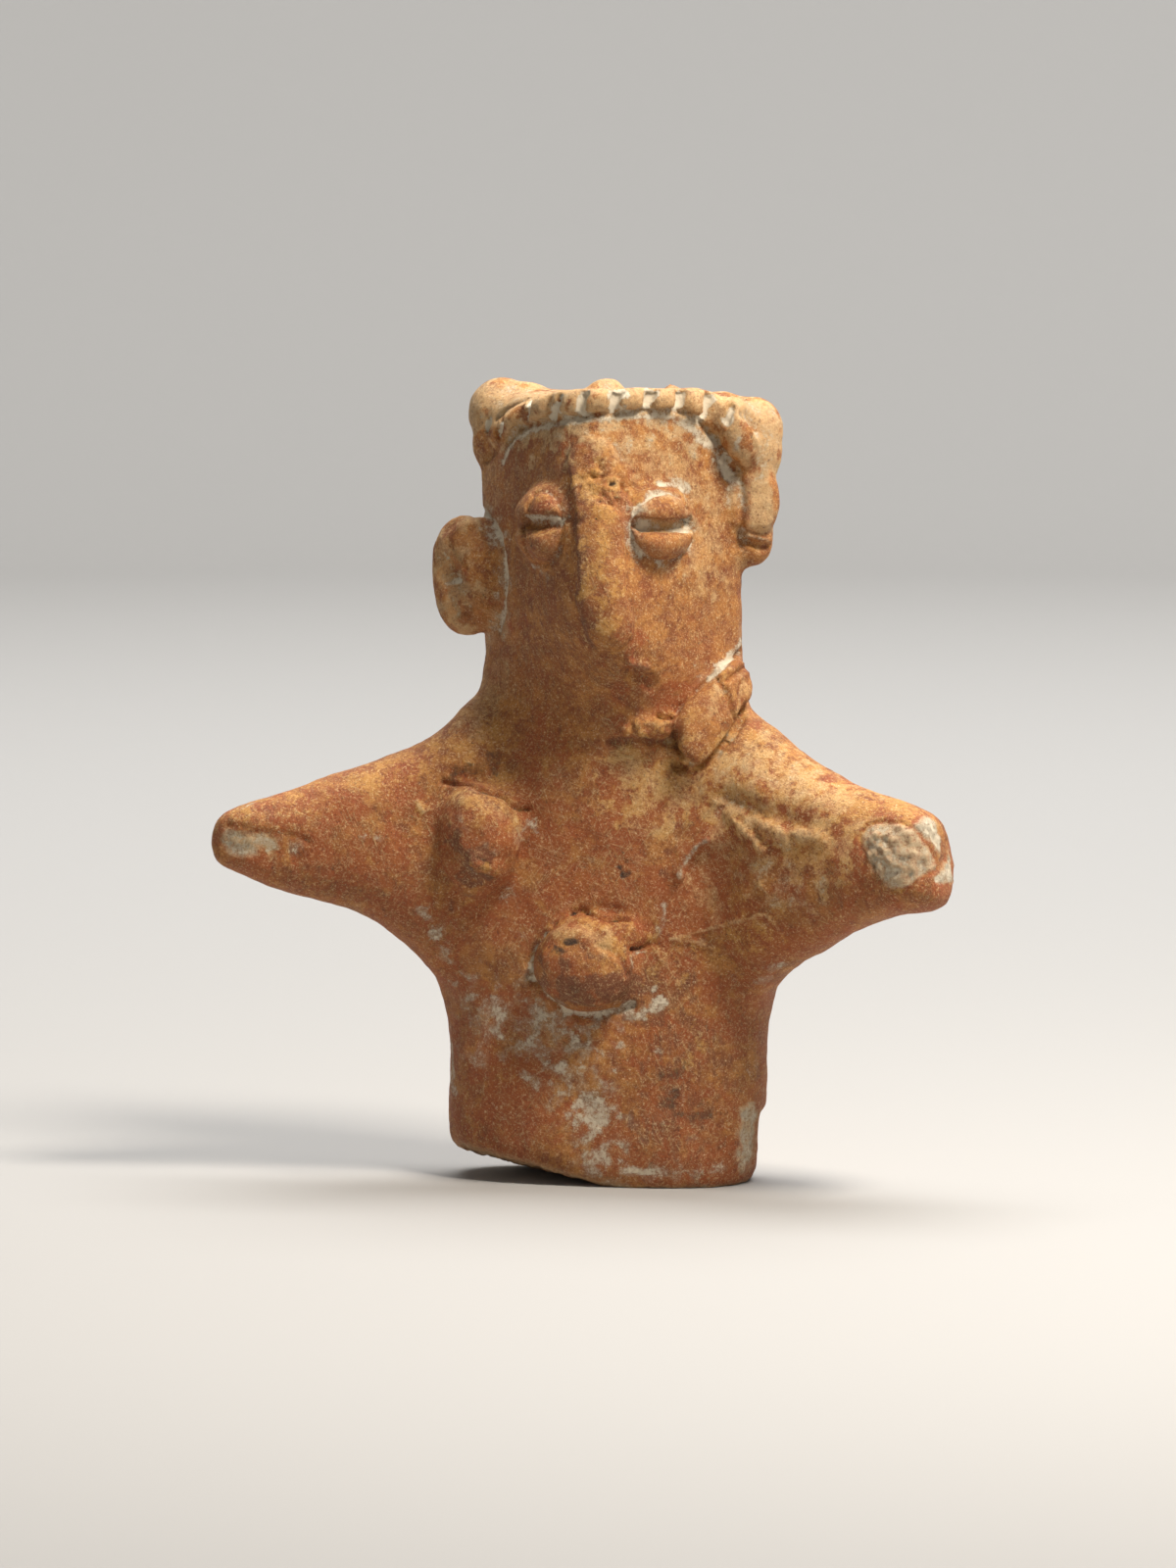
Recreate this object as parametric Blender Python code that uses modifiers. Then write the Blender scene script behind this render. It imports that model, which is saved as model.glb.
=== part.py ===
"""Hand-modelled terracotta bust: a pinched, beaked head with pellet eyes, two arm stumps and a broken waist.

The bust faces -Y, with +Z up and its underside, the break at the waist, on the plane Z = 0.
It is one lump of fired clay. Rolls, balls and discs of clay were pressed onto a core and fired with it,
so everything is fused into one solid. Sizes are hundredths of the bust's height, called PART below.
"""

import math

import bmesh
import bpy
import numpy as np
from mathutils import Matrix, Vector, noise
from mathutils.bvhtree import BVHTree

# Driving dimensions, in metres

BUST_HEIGHT = 0.100
PART = BUST_HEIGHT / 100

# How finely the clay is worked

CORE_GRAIN = 0.75 * PART
SKIN_GRAIN = 0.5 * PART
CORE_SMOOTHING = 9
SKIN_SMOOTHING = 2
RING_POINTS = 56
TRIANGLES = 9400

# The core: one column from the break to the crown. Each row is a height, the reach to the figure's
# right (-X) and left (+X), to the front and to the back, all in hundredths of the height.

COLUMN = (
    (-4.0, 14.5, 15.5, 7.4, 7.0),
    (-1.5, 16.6, 17.2, 8.8, 8.4),
    (1.5, 18.8, 18.8, 9.8, 9.6),
    (6.0, 20.4, 19.8, 10.2, 10.2),
    (13.0, 20.2, 20.0, 9.9, 10.1),
    (20.0, 20.8, 20.2, 9.6, 9.8),
    (25.0, 22.2, 21.3, 9.5, 9.8),
    (31.0, 23.4, 22.4, 9.4, 9.9),
    (40.0, 22.4, 21.8, 9.4, 10.0),
    (48.0, 19.8, 20.2, 9.4, 10.0),
    (55.0, 18.0, 18.0, 9.4, 9.6),
    (61.0, 16.8, 17.1, 9.0, 9.2),
    (68.0, 16.3, 16.8, 8.8, 9.2),
    (78.0, 16.5, 16.8, 8.8, 9.6),
    (86.0, 16.8, 16.7, 8.6, 9.6),
    (93.0, 16.4, 16.2, 8.2, 9.0),
    (96.4, 15.2, 15.2, 7.4, 8.0),
    (98.0, 12.6, 12.8, 5.8, 6.2),
)

# The pinch that makes the face: how far the column's front is drawn into a wedge, how far its crest
# stands forward, and where the crest runs. Each row is a height, the share, the reach and the x.

FACE_PINCH = (
    (49.0, 0.0, 9.4, 5.2),
    (54.0, 0.25, 9.9, 5.4),
    (58.0, 0.55, 10.9, 5.6),
    (62.0, 0.8, 12.6, 5.5),
    (66.0, 1.0, 15.0, 4.8),
    (70.0, 1.0, 16.9, 3.8),
    (75.0, 1.0, 17.4, 2.8),
    (82.0, 1.0, 16.4, 1.9),
    (90.0, 1.0, 14.5, 1.0),
    (95.0, 1.0, 13.6, 0.4),
    (97.0, 0.95, 13.2, 0.2),
    (98.0, 0.9, 11.0, 0.2),
)
CREST_WIDTH = 0.13
CREST_ROUNDING = 0.08
CHEEK_DEPTH = 1.8

# The arms: one bar from stump to stump through the chest. Each row is an x, the underside's and the
# top's height, the middle's y and the half depth.

ARMS = (
    (-47.8, 41.0, 43.9, -13.0, 1.6),
    (-46.9, 39.4, 45.7, -12.8, 3.0),
    (-44.2, 38.2, 47.2, -12.3, 4.3),
    (-39.8, 36.1, 48.2, -10.8, 5.3),
    (-33.3, 34.2, 50.3, -7.9, 6.5),
    (-28.4, 32.0, 52.3, -6.0, 7.2),
    (-24.0, 28.2, 54.0, -4.1, 8.0),
    (-20.6, 24.2, 56.3, -2.4, 8.9),
    (-17.0, 22.4, 60.2, -0.8, 9.2),
    (-8.0, 24.0, 56.0, 0.2, 9.0),
    (8.0, 24.0, 56.0, 0.2, 9.0),
    (16.8, 22.8, 59.0, -0.6, 9.2),
    (20.4, 23.4, 57.2, -2.2, 9.0),
    (24.0, 26.8, 55.0, -3.9, 8.4),
    (28.4, 29.5, 52.7, -5.9, 7.8),
    (33.5, 32.7, 50.4, -8.2, 7.2),
    (39.0, 34.8, 49.4, -10.5, 6.8),
    (43.6, 36.0, 48.6, -12.3, 6.3),
    (47.6, 37.2, 46.4, -13.6, 5.6),
)

# Where clay has broken away: a point on each break and the direction that it faces

WAIST_BREAK = ((2.0, -9.6, 0.0), (-0.7, -0.6, -2.75))
LEFT_STUMP_BREAKS = (
    ((41.4, -17.6, 41.5), (0.42, -0.9, 0.1)),
    ((44.6, -13.5, 41.0), (0.97, -0.1, 0.16)),
    ((42.8, -12.0, 47.6), (0.5, 0.0, 0.87)),
)
RIGHT_STUMP_BREAK = ((-43.0, -16.2, 42.0), (-0.32, -0.94, 0.0))
WAIST_CHIPS = (
    ((17.7, -5.5, 4.0), (0.96, -0.28, -0.04), 8.8),
    ((19.0, 0.0, 4.0), (0.97, 0.24, -0.06), 8.8),
)

CLAY_COLOUR = (0.42, 0.155, 0.06)
CLAY_ROUGHNESS = 0.82


def place(x, y, z):
    """A point given in hundredths of the bust's height."""
    return Vector((x, y, z)) * PART


def read_table(rows, key):
    """The table's other values at this key, along a smooth curve through its rows."""
    keys = [row[0] for row in rows]
    key = min(max(key, keys[0]), keys[-1])
    after = min(max(1, sum(k <= key for k in keys)), len(rows) - 1)
    before = after - 1
    span = keys[after] - keys[before]
    share = (key - keys[before]) / span
    values = []
    for column in range(1, len(rows[0])):
        low, high = rows[before][column], rows[after][column]
        low_slope = slope_at(rows, before, column) * span
        high_slope = slope_at(rows, after, column) * span
        values.append(hermite(low, high, low_slope, high_slope, share))
    return values


def slope_at(rows, index, column):
    """The slope of a table's column at a row: none where the column turns back, so it never overshoots."""
    if index in (0, len(rows) - 1):
        return 0.0
    (k0, v0), (k1, v1), (k2, v2) = ((row[0], row[column]) for row in rows[index - 1 : index + 2])
    first, second = (v1 - v0) / (k1 - k0), (v2 - v1) / (k2 - k1)
    if first * second <= 0:
        return 0.0
    return 2 * first * second / (first + second)


def hermite(low, high, low_slope, high_slope, t):
    """The cubic between two values with these slopes at its ends."""
    return (
        low * (2 * t**3 - 3 * t**2 + 1)
        + low_slope * (t**3 - 2 * t**2 + t)
        + high * (3 * t**2 - 2 * t**3)
        + high_slope * (t**3 - t**2)
    )


def rounded(cosine, power):
    """One coordinate of a superellipse."""
    return math.copysign(abs(cosine) ** power, cosine)


def new_object(name, mesh):
    thing = bpy.data.objects.new(name, mesh)
    bpy.context.scene.collection.objects.link(thing)
    return thing


def loft(name, rings):
    """A closed solid through rings of points."""
    form = bmesh.new()
    loops = [[form.verts.new(point) for point in ring] for ring in rings]
    for low, high in zip(loops, loops[1:]):
        count = len(low)
        for i in range(count):
            form.faces.new((low[i], low[(i + 1) % count], high[(i + 1) % count], high[i]))
    form.faces.new(loops[0])
    form.faces.new(loops[-1])
    bmesh.ops.recalc_face_normals(form, faces=form.faces)
    mesh = bpy.data.meshes.new(name)
    form.to_mesh(mesh)
    form.free()
    return new_object(name, mesh)


def column_ring(height):
    """The column's outline at a height: an oval whose front is pinched into a wedge at the face."""
    right, left, front, back = read_table(COLUMN, height)
    share, crest, crest_x = read_table(FACE_PINCH, height)
    ring = []
    for i in range(RING_POINTS):
        angle = 2 * math.pi * i / RING_POINTS
        across, along = rounded(math.cos(angle), 0.82), rounded(math.sin(angle), 0.82)
        x = across * (left if across > 0 else right)
        y = along * (back if along > 0 else front)
        if along < 0:
            reach = (left - crest_x) if x > crest_x else (right + crest_x)
            aside = min(abs(x - crest_x) / reach, 1.0)
            fall = soft_step(aside - CREST_WIDTH) - soft_step(-CREST_WIDTH)
            fall /= soft_step(1 - CREST_WIDTH) - soft_step(-CREST_WIDTH)
            edge = CHEEK_DEPTH * (1 - aside**8)
            wedge = -(edge + (crest - CHEEK_DEPTH) * (1 - fall))
            y = y * (1 - share) + wedge * share
        ring.append(place(x, y, height))
    return ring


def soft_step(past):
    """Nothing before the crest's edge and the distance past it after, with the corner eased."""
    return (past + math.hypot(past, CREST_ROUNDING)) / 2


def make_column():
    heights = np.linspace(COLUMN[0][0], COLUMN[-1][0], 90)
    return loft("column", [column_ring(height) for height in heights])


def arm_ring(x):
    """The bar's outline at an x: an upright oval."""
    bottom, top, middle_y, depth = read_table(ARMS, x)
    middle, half = (top + bottom) / 2, (top - bottom) / 2
    ring = []
    for i in range(RING_POINTS):
        angle = 2 * math.pi * i / RING_POINTS
        y = middle_y + depth * rounded(math.cos(angle), 0.9)
        z = middle + half * rounded(math.sin(angle), 0.9)
        ring.append(place(x, y, z))
    return ring


def make_arms():
    stations = np.linspace(ARMS[0][0], ARMS[-1][0], 120)
    arms = loft("arms", [arm_ring(x) for x in stations])
    for point, facing in LEFT_STUMP_BREAKS:
        break_off(arms, point, facing)
    break_off(arms, *RIGHT_STUMP_BREAK)
    return arms


def break_off(thing, point, facing):
    """Cuts a solid along a plane, which closes it again."""
    form = bmesh.new()
    form.from_mesh(thing.data)
    everything = form.verts[:] + form.edges[:] + form.faces[:]
    cut = bmesh.ops.bisect_plane(
        form,
        geom=everything,
        plane_co=place(*point),
        plane_no=Vector(facing),
        clear_outer=True,
    )
    rim = [piece for piece in cut["geom_cut"] if isinstance(piece, bmesh.types.BMEdge)]
    bmesh.ops.edgenet_fill(form, edges=rim)
    bmesh.ops.recalc_face_normals(form, faces=form.faces)
    form.to_mesh(thing.data)
    form.free()


def evaluated_copy(thing, name):
    """The object with its modifiers made real, in place of the object."""
    graph = bpy.context.evaluated_depsgraph_get()
    mesh = bpy.data.meshes.new_from_object(thing.evaluated_get(graph))
    bpy.data.objects.remove(thing)
    return new_object(name, mesh)


def fuse(name, things, grain, smoothing):
    """Works overlapping solids into one lump of clay, its joins softened."""
    lump = bmesh.new()
    for thing in things:
        lump.from_mesh(thing.data)
        bpy.data.objects.remove(thing)
    mesh = bpy.data.meshes.new(name)
    lump.to_mesh(mesh)
    lump.free()
    clay = new_object(name, mesh)
    remesh = clay.modifiers.new("one lump", "REMESH")
    remesh.mode = "VOXEL"
    remesh.voxel_size = grain
    soften = clay.modifiers.new("softened", "SMOOTH")
    soften.factor = 0.5
    soften.iterations = smoothing
    return evaluated_copy(clay, name)


class Surface:
    """The clay so far, for seating more clay on it."""

    def __init__(self, thing):
        form = bmesh.new()
        form.from_mesh(thing.data)
        self.tree = BVHTree.FromBMesh(form)
        form.free()

    def in_front(self, x, z):
        """The point and normal that someone facing the bust sees at this x and height."""
        return self.struck(place(x, -60, z), Vector((0, 1, 0)))

    def around(self, bearing, height, axis_y=1.0):
        """The point and normal at a bearing from the front, in degrees, positive to +X, at a height."""
        turn = math.radians(bearing)
        outward = Vector((math.sin(turn), -math.cos(turn), 0))
        return self.struck(place(0, axis_y, height) + outward * 60 * PART, -outward)

    def nearest(self, point):
        point, normal, _, _ = self.tree.find_nearest(point)
        return point, normal

    def struck(self, start, direction):
        point, normal, _, _ = self.tree.ray_cast(start, direction)
        return point, normal


def ball(point, radii, facing, turn=0.0, flatness=1):
    """A ball of clay pressed flat: its radii run across, up and out of the surface that it faces from.

    A flatness over 1 makes its face flatter and its edge steeper.
    """
    form = bmesh.new()
    bmesh.ops.create_uvsphere(form, u_segments=32, v_segments=20, radius=1)
    for vert in form.verts:
        aside = min(math.hypot(vert.co.x, vert.co.y), 1.0)
        vert.co.z = math.copysign(math.sqrt(1 - aside ** (2 * flatness)), vert.co.z)
    out = Vector(facing).normalized()
    across = Vector((0, 0, 1)).cross(out).normalized()
    up = out.cross(across)
    frame = Matrix((across, up, out)).transposed()
    spin = Matrix.Rotation(math.radians(turn), 3, "Z")
    size = Matrix.Diagonal([radius * PART for radius in radii])
    bmesh.ops.transform(form, matrix=(frame @ spin @ size).to_4x4(), verts=form.verts)
    bmesh.ops.translate(form, vec=point, verts=form.verts)
    mesh = bpy.data.meshes.new("ball")
    form.to_mesh(mesh)
    form.free()
    return new_object("ball", mesh)


def spaced_along(stops, spacing):
    """Points and sizes along the straight runs between stops, a spacing apart. A stop is a point and sizes."""
    steps = []
    for (start, start_size), (end, end_size) in zip(stops, stops[1:]):
        count = max(1, round((end - start).length / (spacing * PART)))
        for i in range(count):
            share = i / count
            sizes = [a + (b - a) * share for a, b in zip(start_size, end_size)]
            steps.append((start.lerp(end, share), sizes))
    steps.append(stops[-1])
    return steps


# The head's own clay: eyes, ears, the notched band and the hair. Balls and discs are a place, radii
# across, up and out, and the direction that they face.

EYES = ((-5.4, 82.0), (8.8, 82.0))
EYE_RADII = (5.0, 4.9, 3.0)
EYE_SLIT = (0.95, 1.5, 0.82)
BAND = (
    (-74, 91.4, 1.3),
    (-62, 93.8, 1.5),
    (-42, 95.6, 1.6),
    (-17, 96.8, 1.6),
    (0, 97.4, 1.6),
    (16, 97.6, 1.6),
    (33, 97.5, 1.7),
    (53, 97.0, 1.8),
    (67, 96.4, 2.0),
    (78, 95.2, 2.0),
)
BAND_END = ((17.0, -2.6, 93.4), (2.5, 4.3, 2.7), (0.3, -0.95, 0.1), 12)
HAIR = (
    ((-14.5, 2.6, 95.4), (4.3, 4.3, 4.4)),
    ((-15.4, 1.2, 91.6), (2.5, 4.0, 2.6)),
    ((17.8, 2.0, 93.4), (3.9, 4.2, 4.1)),
    ((18.4, 1.4, 90.8), (3.2, 4.0, 3.4)),
    ((-11.2, 2.4, 95.4), (3.8, 3.8, 3.4)),
    ((13.6, 2.4, 94.0), (4.2, 4.0, 3.4)),
    ((-0.6, 1.0, 97.0), (2.8, 2.8, 2.4)),
    ((8.0, -1.0, 97.6), (1.2, 1.5, 1.2)),
)
RIGHT_EAR = ((-17.8, -2.2, 75.0), (5.3, 7.8, 2.3), (-0.32, -0.95, 0.0))
LEFT_EAR = (
    ((18.3, -0.2, 84.4), (3.3, 5.4, 3.2), (0.3, -0.95, 0.0)),
    ((17.9, 1.2, 80.0), (2.9, 4.0, 2.4), (0.3, -0.95, 0.0)),
)
LEFT_EAR_BREAKS = (
    ((19.0, -2.0, 84.0), (0.3, -0.95, 0.05)),
    ((19.0, 0.0, 80.6), (0.1, -0.3, -0.95)),
)


def make_eyes(surface):
    eyes = []
    for x, z in EYES:
        point, normal = surface.in_front(x, z)
        eyes.append(ball(point, EYE_RADII, level(normal)))
    return eyes


def level(normal):
    return Vector((normal.x, normal.y, 0)).normalized()


def eye_slits(surface):
    """The cut across each eye: the points that it runs through and the way that it faces."""
    slits = []
    for x, z in EYES:
        point, normal = surface.in_front(x, z)
        out = level(normal)
        across = Vector((0, 0, 1)).cross(out)
        half, _, height = (radius * PART for radius in EYE_RADII)
        path = []
        for share in np.linspace(-EYE_SLIT[2], EYE_SLIT[2], 7):
            path.append(point + across * half * share + out * height * math.sqrt(1 - share**2))
        slits.append((path, out))
    return slits


def make_band(surface):
    """A roll of clay over the forehead's top edge, as balls set closer than their radius."""
    stops = []
    for bearing, height, radius in BAND:
        point, outward = surface.around(bearing, 93.5)
        point = Vector((point.x, point.y, height * PART)) - level(outward) * 0.3 * PART
        stops.append((point, (radius, radius, radius)))
    roll = [ball(point, radii, (0, -1, 0)) for point, radii in spaced_along(stops, 0.6)]
    middle, radii, facing, turn = BAND_END
    return [*roll, ball(place(*middle), radii, facing, turn)]


def make_hair():
    return [ball(place(*middle), radii, (0, -1, 0)) for middle, radii in HAIR]


def make_ears():
    right = ball(place(*RIGHT_EAR[0]), *RIGHT_EAR[1:])
    upper, lower = (ball(place(*row[0]), *row[1:]) for row in LEFT_EAR)
    for point, facing in LEFT_EAR_BREAKS:
        break_off(upper, point, facing)
    return [right, upper, lower]


# The body's own clay: the collar's last piece, the breast that is left and the navel

COLLAR = (
    (80, 64.0, 1.7, 1.6),
    (76, 62.2, 2.7, 2.0),
    (71, 60.0, 3.0, 2.2),
    (63, 57.8, 3.3, 2.4),
    (55, 55.6, 3.4, 2.5),
    (49, 54.2, 3.2, 2.5),
)
COLLAR_REMNANT = ((58, 58.0, 1.4, 1.3), (42, 57.4, 1.2, 1.0), (26, 57.2, 1.0, 0.8), (16, 56.9, 0.6, 0.5))
COLLAR_BREAK = ((11.6, -9.0, 54.0), (-0.92, -0.4, 0.05))
PELLETS = (
    ((-13.4, 45.4), (6.2, 4.8, 3.0)),
    ((-14.2, 42.0), (5.2, 6.4, 4.6)),
    ((-14.4, 40.2), (1.6, 1.3, 5.3)),
    ((-0.6, 28.0), (6.5, 6.2, 4.4)),
    ((4.3, 31.6), (2.4, 2.1, 2.2)),
)


def make_collar(surface):
    """The flattened roll that is left of a collar, and the torn scar that runs on from it."""
    rolls = []
    for table in (COLLAR, COLLAR_REMNANT):
        stops = []
        for bearing, height, width, thickness in table:
            point, normal = surface.around(bearing, height)
            stops.append((point, (width, width, thickness)))
        for point, radii in spaced_along(stops, 0.6):
            near, normal = surface.nearest(point)
            roll = ball(near, radii, normal, flatness=2)
            if table is COLLAR:
                break_off(roll, *COLLAR_BREAK)
            rolls.append(roll)
    return rolls


def make_pellets(surface):
    pellets = []
    for (x, z), radii in PELLETS:
        point, normal = surface.in_front(x, z)
        pellets.append(ball(point, radii, normal))
    return pellets


# Marks pressed into the clay or standing on it. Each is a width, a depth, how sharp it is and the points
# that it runs through, as (x, height) seen from the front or (bearing, height) round the head.

FRONT_MARKS = (
    (0.9, 0.5, 1.0, ((-18.0, 50.8), (-15.0, 50.4), (-12.2, 49.7), (-9.4, 47.6), (-7.4, 45.4))),
    (4.5, 0.6, 2.0, ((15.2, 39.6), (15.6, 37.0))),
    (1.3, -0.3, 1.5, ((10.9, 38.6), (11.8, 41.8), (14.6, 44.0), (17.2, 44.6))),
    (1.3, -0.35, 1.5, ((22.6, 45.2), (29.5, 44.5))),
    (1.2, -0.3, 1.5, ((17.4, 46.6), (22.0, 42.4))),
    (2.0, 0.35, 1.5, ((16.2, 48.4), (22.4, 46.9), (27.2, 46.0))),
    (0.7, 0.45, 1.0, ((-1.8, 34.4), (1.6, 34.6), (4.2, 34.0))),
    (1.2, 0.4, 1.2, ((-4.4, 30.2), (-0.6, 30.2), (3.6, 28.0))),
    (0.8, 0.5, 1.0, ((5.8, 29.6), (8.0, 30.3))),
    (0.8, 0.3, 1.0, ((6.2, 64.3), (7.0, 64.7))),
    (1.6, 0.6, 1.4, ((-19.6, 76.2), (-18.8, 75.2))),
)
HEAD_MARKS = (
    (0.9, 0.7, 1.0, ((73, 62.0), (71, 59.4), (66, 57.0))),
    (0.8, 0.6, 1.0, ((84, 63.2), (73, 62.2))),
)
NOTCHES = (
    (-78, 91.2, 50),
    (-69, 92.8, 35),
    (-46, 95.5, 18),
    (-21, 96.6, 14),
    (-1, 97.4, 10),
    (15, 97.6, 6),
    (33, 97.5, 2),
    (52, 97.0, -6),
    (66, 96.4, -14),
    (77, 95.4, -24),
)
NOTCH_WIDTH = 1.05
NOTCH_LENGTH = 3.0
NOTCH_DEPTH = 1.3
UNEVENNESS = 0.45


def mark(points, normals, path, width, depth, sharpness, facing):
    """Moves the clay that faces this way along a path: in for a positive depth, out for a negative one."""
    best = np.full(len(points), np.inf)
    for start, end in zip(path, path[1:]):
        start, along = np.array(start), np.array(end - start)
        share = np.clip((points - start) @ along / (along @ along), 0, 1)
        gap = np.linalg.norm(points - start - share[:, None] * along, axis=1)
        best = np.minimum(best, gap)
    near = np.clip(1 - (best / (width * PART)) ** 2, 0, 1) ** sharpness
    near *= np.clip((normals @ np.array(facing)) * 2, 0, 1)
    return -near[:, None] * depth * PART * np.array(facing)


def chip_away(points):
    """Flattens the rim below a height where the waist has lost its corner, which leaves a ledge above."""
    left = points.copy()
    for point, facing, top in WAIST_CHIPS:
        facing = np.array(Vector(facing).normalized())
        beyond = (left - np.array(place(*point))) @ facing
        lost = (beyond > 0) & (points[:, 2] < top * PART)
        left[lost] -= np.outer(beyond[lost], facing)
    return left


def average_facing(normals):
    total = sum(normals, Vector((0, 0, 0)))
    return total.normalized()


def carve(thing, slits):
    """Presses the marks into the clay and makes it as uneven as fingers leave it."""
    surface = Surface(thing)
    mesh = thing.data
    points = np.empty(len(mesh.vertices) * 3)
    normals = np.empty(len(mesh.vertices) * 3)
    mesh.vertices.foreach_get("co", points)
    mesh.vertices.foreach_get("normal", normals)
    points, normals = points.reshape(-1, 3), normals.reshape(-1, 3)
    points = chip_away(points)
    moves = np.zeros_like(points)
    for table, seat in ((FRONT_MARKS, surface.in_front), (HEAD_MARKS, surface.around)):
        for width, depth, sharpness, stops in table:
            seats = [seat(*stop) for stop in stops]
            for first, second in zip(seats, seats[1:]):
                facing = average_facing([first[1], second[1]])
                pair = [first[0], second[0]]
                moved = mark(points, normals, pair, width, depth, sharpness, facing)
                larger = np.linalg.norm(moved, axis=1) > np.linalg.norm(moves, axis=1)
                moves[larger] = moved[larger]
    for path, out in slits:
        moves += mark(points, normals, path, EYE_SLIT[0], EYE_SLIT[1], 1.0, out)
    for bearing, height, lean in NOTCHES:
        point, _ = surface.around(bearing, height - 0.6)
        turn = math.radians(bearing)
        outward = Vector((math.sin(turn), -math.cos(turn), 0.45)).normalized()
        across = Vector((math.cos(turn), math.sin(turn), 0))
        slant = math.radians(lean)
        run = (Vector((0, 0, 1)) * math.cos(slant) + across * math.sin(slant)) * NOTCH_LENGTH / 2 * PART
        moves += mark(points, normals, [point - run, point + run], NOTCH_WIDTH, NOTCH_DEPTH, 1.0, outward)
    for i, point in enumerate(points):
        spot = Vector(point) / PART
        swell = noise.noise(spot / 13) + 0.5 * noise.noise(spot / 6 + Vector((7, 3, 5)))
        moves[i] += normals[i] * swell * UNEVENNESS * PART
    mesh.vertices.foreach_set("co", (points + moves).ravel())
    mesh.update()


def thin_out(thing, triangles):
    """The same form with fewer, larger faces where it is plain."""
    count = sum(len(face.vertices) - 2 for face in thing.data.polygons)
    decimate = thing.modifiers.new("fewer faces", "DECIMATE")
    decimate.ratio = min(1.0, triangles / count)
    return evaluated_copy(thing, thing.name)


def clay_material():
    clay = bpy.data.materials.new("terracotta")
    clay.use_nodes = True
    shader = clay.node_tree.nodes["Principled BSDF"]
    shader.inputs["Base Color"].default_value = (*CLAY_COLOUR, 1)
    shader.inputs["Roughness"].default_value = CLAY_ROUGHNESS
    shader.inputs["Metallic"].default_value = 0.0
    return clay


def main():
    for thing in list(bpy.data.objects):
        bpy.data.objects.remove(thing)
    column = make_column()
    break_off(column, *WAIST_BREAK)
    core = fuse("core", [column, make_arms()], CORE_GRAIN, CORE_SMOOTHING)
    surface = Surface(core)
    pressed_on = [
        *make_eyes(surface),
        *make_band(surface),
        *make_hair(),
        *make_ears(),
        *make_collar(surface),
        *make_pellets(surface),
    ]
    bust = fuse("terracotta_bust", [core, *pressed_on], SKIN_GRAIN, SKIN_SMOOTHING)
    carve(bust, eye_slits(surface))
    bust = thin_out(bust, TRIANGLES)
    break_off(bust, (0, 0, 0), (0, 0, -1))
    bust.data.materials.clear()
    bust.data.materials.append(clay_material())
    bust.data.shade_smooth()


if __name__ == "__main__":
    main()
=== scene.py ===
import math

import bmesh
import bpy
import numpy as np
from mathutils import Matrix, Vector, noise
from mathutils.bvhtree import BVHTree


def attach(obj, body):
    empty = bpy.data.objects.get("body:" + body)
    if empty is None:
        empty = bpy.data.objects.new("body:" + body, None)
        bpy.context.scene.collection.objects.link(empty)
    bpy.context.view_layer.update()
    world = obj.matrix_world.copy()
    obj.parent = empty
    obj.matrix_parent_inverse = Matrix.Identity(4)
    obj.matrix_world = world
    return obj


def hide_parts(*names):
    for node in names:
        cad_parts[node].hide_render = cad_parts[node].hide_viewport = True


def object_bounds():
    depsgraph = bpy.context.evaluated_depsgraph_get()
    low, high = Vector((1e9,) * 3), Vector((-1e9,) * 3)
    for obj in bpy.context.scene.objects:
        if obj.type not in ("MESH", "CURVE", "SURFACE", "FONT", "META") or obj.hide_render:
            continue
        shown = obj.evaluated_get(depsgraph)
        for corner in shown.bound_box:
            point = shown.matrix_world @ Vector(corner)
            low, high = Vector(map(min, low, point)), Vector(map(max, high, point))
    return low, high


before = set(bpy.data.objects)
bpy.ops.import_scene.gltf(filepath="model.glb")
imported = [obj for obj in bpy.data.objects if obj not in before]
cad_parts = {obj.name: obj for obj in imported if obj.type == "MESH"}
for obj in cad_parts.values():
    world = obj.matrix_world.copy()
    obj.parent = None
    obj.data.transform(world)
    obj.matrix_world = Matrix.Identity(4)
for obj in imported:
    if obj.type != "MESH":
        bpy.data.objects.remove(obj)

solid_low, solid_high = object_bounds()

# The camera
# It stands a little to the figure's left and just above its chest, as it did for the photograph.
# Places on the clay are named below by the pixel of the photograph that shows them.

MM = 0.001
PICTURE_WIDTH, PICTURE_HEIGHT = 1200, 1600
PIXELS_PER_MM = 8.17
CAMERA_TURN = math.radians(14)
CAMERA_RISE = math.radians(5)
CAMERA_DISTANCE = 900 * MM
AIM_ACROSS = -2.693 * MM
AIM_UP = 49.05 * MM
SENSOR = 36
NEAREST_SEEN = 10 * MM

toward_camera = Vector(
    (
        math.sin(CAMERA_TURN) * math.cos(CAMERA_RISE),
        -math.cos(CAMERA_TURN) * math.cos(CAMERA_RISE),
        math.sin(CAMERA_RISE),
    )
)
rightward = Vector((math.cos(CAMERA_TURN), math.sin(CAMERA_TURN), 0))
upward = toward_camera.cross(rightward)
aim = rightward * AIM_ACROSS + upward * AIM_UP
lens_point = aim + toward_camera * CAMERA_DISTANCE

camera_data = bpy.data.cameras.new("camera")
camera_data.sensor_fit = "VERTICAL"
camera_data.sensor_height = SENSOR
camera_data.lens = SENSOR * CAMERA_DISTANCE / (PICTURE_HEIGHT / PIXELS_PER_MM * MM)
camera_data.clip_start = NEAREST_SEEN
camera = bpy.data.objects.new("camera", camera_data)
camera.location = lens_point
camera.rotation_euler = (-toward_camera).to_track_quat("-Z", "Y").to_euler()
bpy.context.scene.collection.objects.link(camera)
bpy.context.scene.camera = camera

# The bust's clay
# One lump of coarse terracotta, worked by hand: a core with rolls and pellets pressed on. Its surface
# is the solid's, rounded to the softness of handled clay and made fine enough to carve.

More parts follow.
